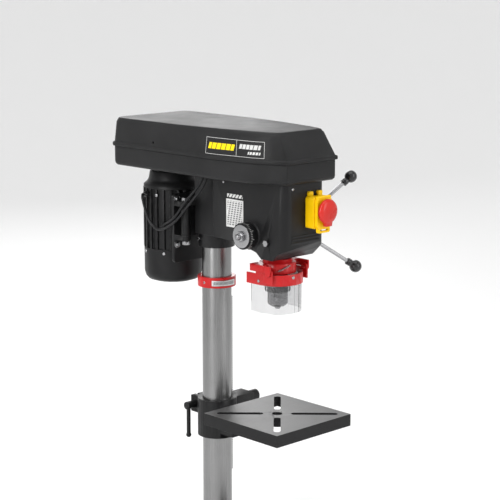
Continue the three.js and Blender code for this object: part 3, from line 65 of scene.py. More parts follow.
MM = 0.001
SPINDLE = (0.0, -0.205)
FEED_AXIS = (-0.1804, 0.800)  # y and z of the feed shaft
MOTOR_Y = 156.0
MOTOR_SKIN = 71.2  # radius of the motor's fins
COWL_SKIN = 69.6  # radius of the fan cowl
COWL_TOP = 723.0
GUARD_SKIN = 57.9  # radius of the guard's band
COLLAR_SKIN = 45.75  # radius of the plate on the rack collar
HEAD_LEFT = -65.0
HEAD_FRONT = -292.0
TABLE_TOP = 0.3745  # just under the top face of the table
LABEL_LIFT = 0.25  # gap between a label and the wall under it
CAMERA_PLACE = (-2.4076, -2.6253, 1.42005)
CAMERA_TURN = (-43.791, 10.935)  # azimuth and downward pitch, in degrees
CAMERA_LENS = 110.4
LEAD_RADIUS = 3.2
LEAD_ROUTES = (
    ((-84.6, 165, 856), (-88, 165, 855.5), (-92, 160, 846), (-91, 151, 820), (-88, 137, 792),
     (-86, 105, 778), (-87, 51, 803), (-81, 8, 847), (-69, -22, 886), (-65, -36, 912), (-65, -37, 924.1)),
    ((-64, 116.5, 790), (-73, 107, 788), (-82, 90, 793), (-87, 52, 813), (-82, 18, 853),
     (-70, -10, 889), (-65, -23, 912), (-65, -24, 924.1)),
)
# Soft pieces that bend between two bodies: the bodies, and where each one's hold ends.
BENDS = {
    "rear_belt": ("frame", "motor", (0, -10, 957), (0, 108, 957)),
    "motor_lead_1": ("motor", "frame", LEAD_ROUTES[0][0], LEAD_ROUTES[0][-1]),
    "motor_lead_2": ("motor", "frame", LEAD_ROUTES[1][0], LEAD_ROUTES[1][-1]),
}


# ---------------------------------------------------------------- surfaces
def turned_frame(axis):
    """Two unit vectors square to the axis and to each other, and the unit axis itself."""
    along = np.asarray(axis, float) / np.linalg.norm(axis)
    helper = np.array([0, 0, 1.0]) if abs(along[2]) < 0.9 else np.array([1.0, 0, 0])
    across = np.cross(helper, along)
    across /= np.linalg.norm(across)
    return across, np.cross(along, across), along


def rounded(corners, radius, steps=5):
    """A polyline with each inner corner replaced by a quadratic curve that starts and ends one radius away
    from it, or halfway along the shorter side."""
    points = np.asarray(corners, float)
    before, here, after = points[:-2], points[1:-1], points[2:]
    back, ahead = before - here, after - here
    length_back = np.linalg.norm(back, axis=1, keepdims=True)
    length_ahead = np.linalg.norm(ahead, axis=1, keepdims=True)
    reach = np.minimum(radius, 0.49 * np.minimum(length_back, length_ahead))
    start = here + back / length_back * reach
    end = here + ahead / length_ahead * reach
    t = np.linspace(0, 1, steps)[None, :, None]
    curve = (1 - t) ** 2 * start[:, None] + 2 * t * (1 - t) * here[:, None] + t**2 * end[:, None]
    return np.vstack([points[:1], curve.reshape(-1, points.shape[1]), points[-1:]])


def grid_faces(rows, columns, wrap_rows, wrap_columns):
    """Quads that join each grid point to the next both ways, round the end where a direction wraps."""
    i = np.arange(rows if wrap_rows else rows - 1)
    j = np.arange(columns if wrap_columns else columns - 1)
    i, j = np.meshgrid(i, j, indexing="ij")
    i, j = i.ravel(), j.ravel()
    i2, j2 = (i + 1) % rows, (j + 1) % columns
    return np.stack([i * columns + j, i2 * columns + j, i2 * columns + j2, i * columns + j2], axis=1)


def make_object(name, points, faces, angle=35, indices=None, merge=True):
    """An object in metres from points in millimetres, doubles merged and normals outward."""
    mesh = bpy.data.meshes.new(name)
    mesh.from_pydata((np.asarray(points) * MM).tolist(), [], np.asarray(faces).tolist())
    if indices is not None:
        mesh.polygons.foreach_set("material_index", np.asarray(indices, np.int32))
    if merge:
        tidy = bmesh.new()
        tidy.from_mesh(mesh)
        bmesh.ops.remove_doubles(tidy, verts=tidy.verts, dist=1e-6)
        bmesh.ops.recalc_face_normals(tidy, faces=tidy.faces)
        tidy.to_mesh(mesh)
        tidy.free()
    mesh.shade_smooth()
    mesh.set_sharp_from_angle(angle=math.radians(angle))
    made = bpy.data.objects.new(name, mesh)
    bpy.context.scene.collection.objects.link(made)
    return made


def revolved(name, profile, centre, axis=(0, 0, 1), segments=96, shape=None, angle=35):
    """A profile of (radius, height) pairs turned about an axis: each point is the centre, plus height along
    the axis, plus radius along the direction at its angle. shape(angle, height, radius) may change the
    radius."""
    profile = np.asarray(profile, float)
    across, up, along = turned_frame(axis)
    theta = np.linspace(0, 2 * np.pi, segments, endpoint=False)[None, :]
    radius = np.repeat(profile[:, :1], segments, axis=1)
    height = np.repeat(profile[:, 1:], segments, axis=1)
    if shape is not None:
        radius = shape(np.repeat(theta, len(profile), axis=0), height, radius)
    ring = np.cos(theta)[..., None] * across + np.sin(theta)[..., None] * up
    points = np.asarray(centre, float) + radius[..., None] * ring + height[..., None] * along
    faces = grid_faces(len(profile), segments, False, True)
    return make_object(name, points.reshape(-1, 3), faces, angle)


def smooth_route(points, per_span=10):
    """A Catmull-Rom curve through the points: a cubic on each span whose ends have the slope of the chord
    between their neighbours."""
    p = np.asarray(points, float)
    p = np.vstack([2 * p[0] - p[1], p, 2 * p[-1] - p[-2]])
    t = np.linspace(0, 1, per_span, endpoint=False)[None, :, None]
    a, b, c, d = p[:-3, None], p[1:-2, None], p[2:-1, None], p[3:, None]
    curve = 0.5 * (2 * b + (c - a) * t + (2 * a - 5 * b + 4 * c - d) * t**2 + (3 * b - a - 3 * c + d) * t**3)
    return np.vstack([curve.reshape(-1, 3), p[-2:-1]])


def tube(name, path, radius, sides=20):
    """A round section carried along a path: at each point the ring lies across the path's direction, and
    the ends close on the path itself."""
    path = np.asarray(path, float)
    direction = np.gradient(path, axis=0)
    direction /= np.linalg.norm(direction, axis=1, keepdims=True)
    helper = np.array([0.31, 0.27, 0.91])
    across = np.cross(direction, helper)
    across /= np.linalg.norm(across, axis=1, keepdims=True)
    up = np.cross(direction, across)
    theta = np.linspace(0, 2 * np.pi, sides, endpoint=False)
    ring = np.cos(theta)[None, :, None] * across[:, None] + np.sin(theta)[None, :, None] * up[:, None]
    points = path[:, None] + radius * ring
    ends = np.repeat(path[[0, -1]][:, None], sides, axis=1)
    points = np.concatenate([ends[:1], points, ends[1:]])
    return make_object(name, points.reshape(-1, 3), grid_faces(len(points), sides, False, True), 50)


def hexagon(apothem, chamfer_from, top):
    """Radius of a six-sided bar, apothem over the cosine of the angle from the nearest flat's middle, cut
    back by a 30 degree cone above chamfer_from."""
    def shape(theta, height, radius):
        side = (theta + np.pi / 6) % (np.pi / 3) - np.pi / 6
        bar = apothem / np.cos(side)
        cone = apothem * 1.14 - np.maximum(height - chamfer_from, 0) * 1.7
        flat = np.where(height > top - 0.01, np.minimum(radius, cone), np.minimum(bar, cone))
        return np.where(radius < apothem * 0.95, radius, flat)
    return shape


def hex_bolt(name, seat, axis, apothem=6.5, height=5, washer=8.5):
    """A washer with a chamfered six-sided head on it, turned about the bolt's axis."""
    lower = revolved(
        name + "_washer",
        rounded([[0, 0], [washer, 0], [washer, 1.4], [0, 1.4]], 0.3, 3), seat, axis, 40,
    )
    top = 1.4 + height
    profile = [[0, 1.3], [apothem * 1.16, 1.3], [apothem * 1.16, top - 1.2], [apothem * 1.16, top - 0.6],
               [apothem * 1.1, top], [apothem * 0.8, top], [0, top]]
    head = revolved(name, profile, seat, axis, 72, hexagon(apothem, top - 1.2, top))
    return [lower, head]


def pan_screw(name, seat, axis, radius=4.5, height=2.6, driver=1.9):
    """A domed head, a quarter ellipse in section, with a round driver recess sunk in its middle."""
    t = np.linspace(0, np.pi / 2, 9)
    dome = np.stack([driver + (radius - driver) * np.cos(t), 0.4 + (height - 0.4) * np.sin(t)], axis=1)
    profile = np.vstack([[[0, 0], [radius, 0]], dome, [[driver * 0.85, height - 1.6], [0, height - 1.8]]])
    return [revolved(name, profile, seat, axis, 40)]


def softened(node):
    """A copy of a CAD node, doubles merged and shallow edges shaded smooth, which stands for the node."""
    mesh = frame["nodes"][node].data.copy()
    mesh.materials.clear()
    tidy = bmesh.new()
    tidy.from_mesh(mesh)
    bmesh.ops.remove_doubles(tidy, verts=tidy.verts, dist=1e-6)
    tidy.to_mesh(mesh)
    tidy.free()
    mesh.shade_smooth()
    mesh.set_sharp_from_angle(angle=math.radians(32))
    made = bpy.data.objects.new(node + "_finish", mesh)
    bpy.context.scene.collection.objects.link(made)
    made.modifiers.new("Weighted normals", "WEIGHTED_NORMAL").keep_sharp = True
    return place(made, node, finish_of(node), [node])


def place(made, body_or_node, material, replaced=()):
    """Gives a piece its finish and the body it rides on, or, for a piece that bends between two bodies, bakes
    its placement into its mesh and leaves it on no body, and hides the CAD nodes it stands for."""
    for item in material if isinstance(material, (list, tuple)) else [material]:
        made.data.materials.append(item)
    if body_or_node not in BENDS:
        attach(made, BODY_OF.get(body_or_node, body_or_node))
    if replaced:
        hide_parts(*replaced)
    if body_or_node in BENDS:
        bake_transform(made)
    return made


# ---------------------------------------------------------------- shader groups
def new_group(name, inputs, outputs):
    """An empty shader group with named float sockets; each input is (name, default)."""
    group = bpy.data.node_groups.new(name, "ShaderNodeTree")
    for label, default in inputs:
        socket = group.interface.new_socket(label, in_out="INPUT", socket_type="NodeSocketFloat")
        socket.default_value = default
    for label, kind in outputs:
        group.interface.new_socket(label, in_out="OUTPUT", socket_type=kind)
    return group, group.nodes.new("NodeGroupInput"), group.nodes.new("NodeGroupOutput")


def scaled_noise(group, vector, scale, detail, roughness=0.55):
    """A noise texture on the given vector."""
    noise = group.nodes.new("ShaderNodeTexNoise")
    noise.inputs["Detail"].default_value = detail
    noise.inputs["Roughness"].default_value = roughness
    group.links.new(vector, noise.inputs["Vector"])
    if isinstance(scale, (int, float)):
        noise.inputs["Scale"].default_value = scale
    else:
        group.links.new(scale, noise.inputs["Scale"])
    return noise.outputs["Fac"]


def range_of(group, value, low, high, to_low=0.0, to_high=1.0):
    """A clamped linear map from one range to another."""
    node = group.nodes.new("ShaderNodeMapRange")
    group.links.new(value, node.inputs["Value"])
    for label, number in (("From Min", low), ("From Max", high), ("To Min", to_low), ("To Max", to_high)):
        node.inputs[label].default_value = number
    return node.outputs["Result"]


def maths(group, kind, a, b):
    """One math node on two sockets or numbers."""
    node = group.nodes.new("ShaderNodeMath")
    node.operation = kind
    for socket, value in zip(node.inputs, (a, b)):
        if isinstance(value, (int, float)):
            socket.default_value = value
        else:
            group.links.new(value, socket)
    return node.outputs[0]


def edge_wear_group():
    """Edge wear: where the dot product of the true normal and a rounded one falls below one there is an
    edge, broken up by noise. Also puts out the rounded normal."""
    group, into, out = new_group(
        "Edge wear", [("Radius", 0.001), ("Breakup", 60.0)],
        [("Mask", "NodeSocketFloat"), ("Normal", "NodeSocketVector")],
    )
    bevel = group.nodes.new("ShaderNodeBevel")
    bevel.samples = 4
    group.links.new(into.outputs["Radius"], bevel.inputs["Radius"])
    geometry = group.nodes.new("ShaderNodeNewGeometry")
    dot = group.nodes.new("ShaderNodeVectorMath")
    dot.operation = "DOT_PRODUCT"
    group.links.new(bevel.outputs[0], dot.inputs[0])
    group.links.new(geometry.outputs["Normal"], dot.inputs[1])
    edge = range_of(group, dot.outputs["Value"], 0.985, 0.86)
    place_of = group.nodes.new("ShaderNodeTexCoord").outputs["Object"]
    noise = scaled_noise(group, place_of, into.outputs["Breakup"], 5)
    group.links.new(maths(group, "MULTIPLY", edge, range_of(group, noise, 0.46, 0.66)), out.inputs["Mask"])
    group.links.new(bevel.outputs[0], out.inputs["Normal"])
    return group


def grain_group():
    """Grain: a coarse noise for uneven colour and a fine one for the coat's texture."""
    group, into, out = new_group(
        "Grain", [("Coarse", 9.0), ("Fine", 900.0)],
        [("Variation", "NodeSocketFloat"), ("Texture", "NodeSocketFloat")],
    )
    place_of = group.nodes.new("ShaderNodeTexCoord").outputs["Object"]
    group.links.new(scaled_noise(group, place_of, into.outputs["Coarse"], 4), out.inputs["Variation"])
    group.links.new(scaled_noise(group, place_of, into.outputs["Fine"], 2), out.inputs["Texture"])
    return group


def brushed_group():
    """Brushed lines: noise on a position scaled differently along X, Y and Z, which draws it into lines."""
    group, into, out = new_group(
        "Brushed lines", [("X", 900.0), ("Y", 900.0), ("Z", 12.0)], [("Lines", "NodeSocketFloat")]
    )
    place_of = group.nodes.new("ShaderNodeTexCoord").outputs["Object"]
    stretch = group.nodes.new("ShaderNodeCombineXYZ")
    for label in "XYZ":
        group.links.new(into.outputs[label], stretch.inputs[label])
    product = group.nodes.new("ShaderNodeVectorMath")
    product.operation = "MULTIPLY"
    group.links.new(place_of, product.inputs[0])
    group.links.new(stretch.outputs[0], product.inputs[1])
    group.links.new(scaled_noise(group, product.outputs[0], 1.0, 3, 0.7), out.inputs["Lines"])
    return group


def dust_group():
    """Dust: faces that point up in the object's own frame, broken up by noise."""
    group, into, out = new_group("Dust", [("Amount", 0.12)], [("Mask", "NodeSocketFloat")])
    coordinates = group.nodes.new("ShaderNodeTexCoord")
    split = group.nodes.new("ShaderNodeSeparateXYZ")
    group.links.new(coordinates.outputs["Normal"], split.inputs[0])
    upward = range_of(group, split.outputs["Z"], 0.3, 1.0)
    noise = scaled_noise(group, coordinates.outputs["Object"], 26.0, 7, 0.7)
    speckled = maths(group, "MULTIPLY", upward, range_of(group, noise, 0.42, 0.72))
    group.links.new(maths(group, "MULTIPLY", speckled, into.outputs["Amount"]), out.inputs["Mask"])
    return group


def use_group(tree, builder, name, **values):
    """Places a shared shader group in a material, built on first use, with its own input values."""
    node = tree.nodes.new("ShaderNodeGroup")
    node.node_tree = bpy.data.node_groups.get(name) or builder()
    for label, value in values.items():
        node.inputs[label].default_value = value
    return node


def mixed(tree, factor, first, second):
    """A colour mix; each colour is a socket or a triple."""
    node = tree.nodes.new("ShaderNodeMix")
    node.data_type = "RGBA"
    tree.links.new(factor, node.inputs["Factor"])
    for socket, value in ((node.inputs[6], first), (node.inputs[7], second)):
        if isinstance(value, bpy.types.NodeSocket):
            tree.links.new(value, socket)
        else:
            socket.default_value = (*value[:3], 1)
    return node.outputs[2]


# ---------------------------------------------------------------- finishes
def coated(name, colour, roughness, fine=900.0, depth=0.00008, edge=0.0010, worn=(0.3, 0.3, 0.3), dust=0.1,
           wear=0.35, coat=0.0, shine=0.25):
    """Paint, powder coat or plastic: uneven colour, a fine bumpy coat, lighter worn edges, a little dust."""
    material = bpy.data.materials.new(name)
    material.use_nodes = True
    tree = material.node_tree
    shader = tree.nodes["Principled BSDF"]
    grain = use_group(tree, grain_group, "Grain", Coarse=11.0, Fine=fine)
    edges = use_group(tree, edge_wear_group, "Edge wear", Radius=edge, Breakup=70.0)
    dusty = use_group(tree, dust_group, "Dust", Amount=dust)
    dark = tuple(c * 0.86 for c in colour)
    light = tuple(min(1, c * 1.12 + 0.002) for c in colour)
    painted = mixed(tree, range_of(tree, grain.outputs["Variation"], 0.35, 0.65), dark, light)
    chipped = mixed(tree, maths(tree, "MULTIPLY", edges.outputs["Mask"], wear), painted, worn)
    dusted = mixed(tree, dusty.outputs["Mask"], chipped, (0.5, 0.48, 0.45))
    tree.links.new(dusted, shader.inputs["Base Color"])
    rough = range_of(tree, grain.outputs["Variation"], 0.3, 0.7, roughness - 0.05, roughness + 0.06)
    tree.links.new(rough, shader.inputs["Roughness"])
    bump = tree.nodes.new("ShaderNodeBump")
    bump.inputs["Strength"].default_value = 0.5
    bump.inputs["Distance"].default_value = depth
    tree.links.new(grain.outputs["Texture"], bump.inputs["Height"])
    tree.links.new(edges.outputs["Normal"], bump.inputs["Normal"])
    tree.links.new(bump.outputs["Normal"], shader.inputs["Normal"])
    shader.inputs["Specular IOR Level"].default_value = shine
    shader.inputs["Coat Weight"].default_value = coat
    shader.inputs["Coat Roughness"].default_value = 0.12
    return material


def bare_metal(name, colour, roughness, lines=(900, 900, 12), depth=0.00002, edge=0.0006, spread=0.12):
    """Bare metal: fine lines drawn out along one way change its colour, roughness and height."""
    material = bpy.data.materials.new(name)
    material.use_nodes = True
    tree = material.node_tree
    shader = tree.nodes["Principled BSDF"]
    brush = use_group(tree, brushed_group, "Brushed lines", X=lines[0], Y=lines[1], Z=lines[2])
    grain = use_group(tree, grain_group, "Grain", Coarse=14.0, Fine=400.0)
    edges = use_group(tree, edge_wear_group, "Edge wear", Radius=edge, Breakup=90.0)
    brushed = range_of(tree, brush.outputs["Lines"], 0.3, 0.7)
    shade = mixed(tree, brushed, tuple(c * 0.78 for c in colour), colour)
    stained = mixed(tree, range_of(tree, grain.outputs["Variation"], 0.5, 0.8, 0, 0.35), shade,
                    tuple(c * 0.62 for c in colour))
    tree.links.new(stained, shader.inputs["Base Color"])
    shader.inputs["Metallic"].default_value = 1.0
    rough = range_of(tree, brush.outputs["Lines"], 0.3, 0.7, roughness - spread / 2, roughness + spread / 2)
    tree.links.new(rough, shader.inputs["Roughness"])
    bump = tree.nodes.new("ShaderNodeBump")
    bump.inputs["Strength"].default_value = 0.4
    bump.inputs["Distance"].default_value = depth
    tree.links.new(brush.outputs["Lines"], bump.inputs["Height"])
    tree.links.new(edges.outputs["Normal"], bump.inputs["Normal"])
    tree.links.new(bump.outputs["Normal"], shader.inputs["Normal"])
    return material


def table_finish(top_colour, side_colour):
    """Ground cast iron on the top face, black enamel on the sides, the slots' walls and the underside."""
    material = coated("Table casting", side_colour, 0.48, dust=0.02)
    tree = material.node_tree
    shader = tree.nodes["Principled BSDF"]
    coordinates = tree.nodes.new("ShaderNodeTexCoord")
    normal = tree.nodes.new("ShaderNodeSeparateXYZ")
    position = tree.nodes.new("ShaderNodeSeparateXYZ")
    tree.links.new(coordinates.outputs["Normal"], normal.inputs[0])
    tree.links.new(coordinates.outputs["Object"], position.inputs[0])
    top = maths(tree, "MULTIPLY", maths(tree, "GREATER_THAN", normal.outputs["Z"], 0.7),
                maths(tree, "GREATER_THAN", position.outputs["Z"], TABLE_TOP))
    brush = use_group(tree, brushed_group, "Brushed lines", X=14.0, Y=1300.0, Z=300.0)
    grain = use_group(tree, grain_group, "Grain", Coarse=16.0, Fine=700.0)
    darker = tuple(c * 0.75 for c in top_colour)
    ground = mixed(tree, range_of(tree, brush.outputs["Lines"], 0.3, 0.7), darker, top_colour)
    spotted = mixed(tree, range_of(tree, grain.outputs["Variation"], 0.5, 0.75, 0, 0.5), ground,
                    tuple(c * 0.6 for c in top_colour))
    painted = shader.inputs["Base Color"].links[0].from_socket
    rough = shader.inputs["Roughness"].links[0].from_socket
    tree.links.new(mixed(tree, top, painted, spotted), shader.inputs["Base Color"])
    machined = range_of(tree, brush.outputs["Lines"], 0.3, 0.7, 0.36, 0.5)
    blend = tree.nodes.new("ShaderNodeMix")
    tree.links.new(top, blend.inputs["Factor"])
    tree.links.new(rough, blend.inputs[2])
    tree.links.new(machined, blend.inputs[3])
    tree.links.new(blend.outputs[0], shader.inputs["Roughness"])
    tree.links.new(maths(tree, "MULTIPLY", top, 0.85), shader.inputs["Metallic"])
    return material


def clear_sheet(name, colour):
    """Clear polycarbonate: full transmission, with light scuffs in its roughness."""
    material = bpy.data.materials.new(name)
    material.use_nodes = True
    tree = material.node_tree
    shader = tree.nodes["Principled BSDF"]
    grain = use_group(tree, grain_group, "Grain", Coarse=40.0, Fine=500.0)
    clouded = tuple(c * 0.95 for c in colour)
    tinted = mixed(tree, range_of(tree, grain.outputs["Variation"], 0.3, 0.7), clouded, colour)
    tree.links.new(tinted, shader.inputs["Base Color"])
    shader.inputs["Transmission Weight"].default_value = 1.0
    shader.inputs["IOR"].default_value = 1.45
    scuffs = range_of(tree, grain.outputs["Variation"], 0.45, 0.75, 0.03, 0.16)
    tree.links.new(scuffs, shader.inputs["Roughness"])
    return material


FINISHES = {}


def make_finishes(colours):
    """Builds every finish once, keyed by the record's slot, plus those of the small fittings."""
    enamel, steel = tuple(colours.enamel), tuple(colours.steel)
    FINISHES.update({
        "cast_black": coated("Black enamel", enamel, 0.42, fine=520, depth=0.00012, edge=0.0014, dust=0.02),
        "cover_grey": coated("Charcoal powder coat", tuple(colours.cover), 0.5, fine=1500, depth=0.0001,
                             edge=0.004,
                             wear=0.1, worn=(0.1, 0.1, 0.1), dust=0.008, shine=0.18),
        "column_steel": bare_metal("Ground column steel", steel, 0.3, (1100, 1100, 5)),
        "guard_red": coated("Red enamel", tuple(colours.guard), 0.3, fine=380, worn=(0.8, 0.2, 0.18),
                            dust=0.0,
                            wear=0.2, coat=0.15),
        "table_grey": table_finish(tuple(colours.table), enamel),
        "bright_steel": bare_metal("Bright steel", (0.46, 0.46, 0.47), 0.24, (260, 260, 1400)),
        "pulley_aluminium": bare_metal("Turned aluminium", (0.62, 0.62, 0.63), 0.32, (300, 300, 1600)),
        "belt_rubber": coated("Belt rubber", (0.012, 0.012, 0.012), 0.75, fine=1200, wear=0.05),
        "lead_rubber": coated("Cable sheath", (0.012, 0.012, 0.013), 0.38, fine=700, edge=0.0003, wear=0.0,
                              dust=0.04),
        "switch_yellow": coated("Yellow plastic", tuple(colours.switch), 0.38, fine=900, edge=0.0012,
                                worn=(1, 0.85, 0.3), dust=0.02, wear=0.15),
        "stop_red": coated("Red plastic", tuple(colours.stop), 0.28, fine=900, edge=0.0025,
                           worn=(1, 0.4, 0.3), dust=0.02, wear=0.12, coat=0.3),
        "start_green": coated("Green plastic", (0.01, 0.3, 0.06), 0.3, fine=900, dust=0.02, wear=0.05),
        "knob_black": coated("Black phenolic", (0.014, 0.014, 0.015), 0.2, fine=500, depth=0.00003, dust=0.04,
                             wear=0.1, coat=0.5),
        "clear_shield": clear_sheet("Clear polycarbonate", (0.74, 0.74, 0.745)),
        "label_white": coated("White label", (0.6, 0.6, 0.59), 0.5, fine=900, depth=0.00001, edge=0.0002,
                              wear=0.0),
        "label_ink": coated("Grey print", (0.12, 0.12, 0.125), 0.45, fine=900, depth=0.00001, edge=0.0002,
                            wear=0.0),
        "label_yellow": coated("Yellow print", (0.95, 0.66, 0.0), 0.4, fine=900, depth=0.00001, edge=0.0002,
                               wear=0.0),
        "chuck_steel": bare_metal("Chuck steel", (0.3, 0.3, 0.305), 0.24, (60, 60, 1200), depth=0.00001),
        "sleeve_steel": bare_metal("Chuck sleeve steel", (0.09, 0.09, 0.092), 0.3, (60, 60, 1200),
                                   depth=0.00001),
        "nameplate": bare_metal("Brushed nameplate", (0.7, 0.7, 0.7), 0.4, (500, 500, 20)),
    })


def finish_of(node):
    """The finish of a CAD node, by its record slot, but darker on the chuck and its sleeve."""
    special = {"chuck_body": "chuck_steel", "chuck_sleeve": "sleeve_steel"}
    return FINISHES[special.get(node, SLOT_OF[node])]


# ---------------------------------------------------------------- sizes and colours
def colour_property(name, default, description):
    """A colour swatch with three channels."""
    return bpy.props.FloatVectorProperty(
        name=name, description=description, subtype="COLOR", size=3, min=0, max=1, default=default
    )


def length_property(name, default, description):
    """A length in metres."""
    return bpy.props.FloatProperty(
        name=name, description=description, subtype="DISTANCE", unit="LENGTH", min=0, default=default
    )


class PressSizes(bpy.types.PropertyGroup):
    bolt_flats: length_property("Bolt head half width", 0.0065, "Half the width across a bolt head's flats")
    ball_radius: length_property("Knob ball radius", 0.0146, "Radius of the feed handles' ball knobs")
    spring_wire: length_property("Guard spring wire", 0.0005, "Radius of the wire of the guard's spring")
    label_thickness: length_property("Label thickness", 0.0003, "Thickness of the collar's plate")
    floor_radius: length_property("Floor radius", 2.5, "Radius of the flat part of the floor")


class PressColours(bpy.types.PropertyGroup):
    enamel: colour_property("Castings", (0.0065, 0.0065, 0.007), "Enamel on the castings and the motor")
    cover: colour_property("Belt cover", (0.016, 0.016, 0.0165), "Powder coat on the belt cover")
    steel: colour_property("Column", (0.3, 0.3, 0.3), "Ground steel of the column")
    guard: colour_property("Guard", (0.5, 0.008, 0.01), "Enamel on the guard and the collar")
    table: colour_property("Table top", (0.15, 0.15, 0.15), "Ground top of the table")
    switch: colour_property("Switch", (0.86, 0.52, 0.0), "Plastic of the switch box and its lid")
    stop: colour_property("Stop button", (0.55, 0.014, 0.008), "Plastic of the stop button")
    floor: colour_property("Floor", (0.76, 0.76, 0.76), "Pale floor and backdrop")


# ---------------------------------------------------------------- operators
class PieceOperator:
    """What every operator here shares."""

    bl_options = {"REGISTER", "UNDO"}

    def execute(self, context):
        self.make(context.scene.press_sizes, context.scene.press_colours)
        return {"FINISHED"}


class PRESS_OT_stage(PieceOperator, bpy.types.Operator):
    """Make the floor, the lights and the camera"""

    bl_idname = "press.stage"
    bl_label = "Stage"

    def make(self, sizes, colours):
        scene = bpy.context.scene
        flat = sizes.floor_radius / MM
        sweep = 6000
        t = np.linspace(0, np.pi / 2, 40)
        rise = np.stack([flat + sweep * np.sin(t), sweep * (1 - np.cos(t))], axis=1)
        profile = np.vstack([[[0, 0]], rise, [[flat + sweep, sweep + 3000]]])
        floor = revolved("floor", profile - [0, 0.4], (0, 0, 0), segments=96)
        floor.data.flip_normals()
        material = bpy.data.materials.new("Pale backdrop")
        material.use_nodes = True
        shader = material.node_tree.nodes["Principled BSDF"]
        shader.inputs["Base Color"].default_value = (*colours.floor, 1)
        shader.inputs["Roughness"].default_value = 0.8
        shader.inputs["Emission Color"].default_value = (*colours.floor, 1)
        shader.inputs["Emission Strength"].default_value = 0.3
        floor.data.materials.append(material)
        self.light("Key softbox", (-2.9, -0.4, 2.2), 0.9, 3.2, 62)
        self.light("Front softbox", (0.9, -3.4, 1.9), 0.9, 2.6, 36)
        self.light("Top softbox", (-0.2, -0.3, 3.4), 2.4, 2.4, 34)
        self.light("Rear softbox", (1.8, 2.6, 2.2), 1.6, 2.2, 34)
        world = bpy.data.worlds.new("Studio")
        world.use_nodes = True
        world.node_tree.nodes["Background"].inputs["Color"].default_value = (1, 1, 1, 1)
        world.node_tree.nodes["Background"].inputs["Strength"].default_value = 0.42
        scene.world = world
        scene.view_settings.view_transform = "Standard"
        data = bpy.data.cameras.new("Camera")
        data.lens, data.sensor_width, data.clip_end = CAMERA_LENS, 36, 100
        camera = bpy.data.objects.new("Camera", data)
        scene.collection.objects.link(camera)
        azimuth, pitch = (math.radians(a) for a in CAMERA_TURN)
        level = math.cos(pitch)
        back = Vector((math.sin(azimuth) * level, -math.cos(azimuth) * level, math.sin(pitch)))
        camera.location = CAMERA_PLACE
        camera.rotation_mode = "QUATERNION"
        camera.rotation_quaternion = (-back).to_track_quat("-Z", "Y")
        scene.camera = camera

    def light(self, name, at, width, height, power):
        """A rectangular area light that faces the middle of the press."""
        data = bpy.data.lights.new(name, "AREA")
        data.shape, data.size, data.size_y, data.energy = "RECTANGLE", width, height, power
        lamp = bpy.data.objects.new(name, data)
        bpy.context.scene.collection.objects.link(lamp)
        lamp.location = at
        lamp.rotation_mode = "QUATERNION"
        lamp.rotation_quaternion = (Vector((0, -0.05, 0.75)) - Vector(at)).to_track_quat("-Z", "Y")


class PRESS_OT_finishes(PieceOperator, bpy.types.Operator):
    """Build the finishes and lay them on the parts that keep their own shape"""

    bl_idname = "press.finishes"
    bl_label = "Finishes"

    def make(self, sizes, colours):
        make_finishes(colours)
        for node, piece in frame["nodes"].items():
            for holder in piece.material_slots:
                holder.material = finish_of(node)


class PRESS_OT_castings(PieceOperator, bpy.types.Operator):
    """Smooth the castings, plates, pulleys and levers"""

    bl_idname = "press.castings"
    bl_label = "Castings"

    nodes = (
        "base", "column_flange", "table_bracket", "table", "table_tilt_bolt", "table_lock_lever",
        "crank_handle", "head_casting", "head_lock_screw", "quill_lock_screw", "quill", "spindle",
        "chuck_body", "chuck_jaw_1", "chuck_jaw_2", "chuck_jaw_3", "pinion_shaft", "spring_cap", "feed_hub",
        "feed_rod_1", "feed_rod_2", "feed_rod_3", "belt_tray", "cover_lid", "lid_hinge_pin",
        "spindle_pulley", "idler_pulley", "motor_pulley", "idler_post", "front_belt", "rear_belt",
        "motor_housing", "motor_bell", "motor_shaft", "motor_bracket", "motor_pivot_bolt_1",
        "motor_pivot_bolt_2", "fan_cowl", "motor_gland", "switch_box", "switch_lid", "start_button",
        "stop_button", "guard_collar", "guard_ring", "guard_shield",
    )

    def make(self, sizes, colours):
        for node in self.nodes:
            softened(node)


class PRESS_OT_column(PieceOperator, bpy.types.Operator):
    """Make the round column, the rack collar, its plate and its set screw"""

    bl_idname = "press.column"
    bl_label = "Column and collar"

    def make(self, sizes, colours):
        wall = rounded([[35, 39], [35, 914.7], [31, 914.7], [31, 39], [35, 39]], 0.6, 4)
        column = revolved("column_tube", wall, (0, 0, 0), segments=160)
        place(column, "column", finish_of("column"), ["column"])
        ring = rounded([[41.6, 648.2], [45.4, 648.2], [45.4, 672.8], [35.4, 672.8], [35.4, 657.6],
                        [41.6, 657.6], [41.6, 648.2]], 1.4, 6)
        place(revolved("collar_ring", ring, (0, 0, 0), segments=128), "rack_collar", finish_of("rack_collar"),
              ["rack_collar"])
        first, last = math.radians(212), math.radians(292)
        theta = np.linspace(first, last, 60)[:, None]
        height = np.linspace(653.5, 667, 10)[None, :]
        shell = np.stack([COLLAR_SKIN * np.cos(theta) + 0 * height, COLLAR_SKIN * np.sin(theta) + 0 * height,
                          height + 0 * theta], axis=2)
        step, row = np.meshgrid(np.arange(59), np.arange(9), indexing="ij")
        marks = (row > 1) & (row < 7) & (step > 3) & (step < 55) & ((step + row // 3) % 3 > 0)
        plate = make_object("collar_plate", shell.reshape(-1, 3), grid_faces(60, 10, False, False),
                            indices=marks.astype(int).ravel(), merge=False)
        face = plate.modifiers.new("Thickness", "SOLIDIFY")
        face.thickness, face.offset = sizes.label_thickness, 0
        place(plate, "rack_collar", [FINISHES["nameplate"], FINISHES["label_ink"]])
        angle = math.radians(187)
        axis = (math.cos(angle), math.sin(angle), 0)
        seat = (45.2 * axis[0], 45.2 * axis[1], 660.5)
        for screw in pan_screw("collar_set_screw", seat, axis, 3.2, 1.2, 1.7):
            place(screw, "rack_collar", FINISHES["bright_steel"])


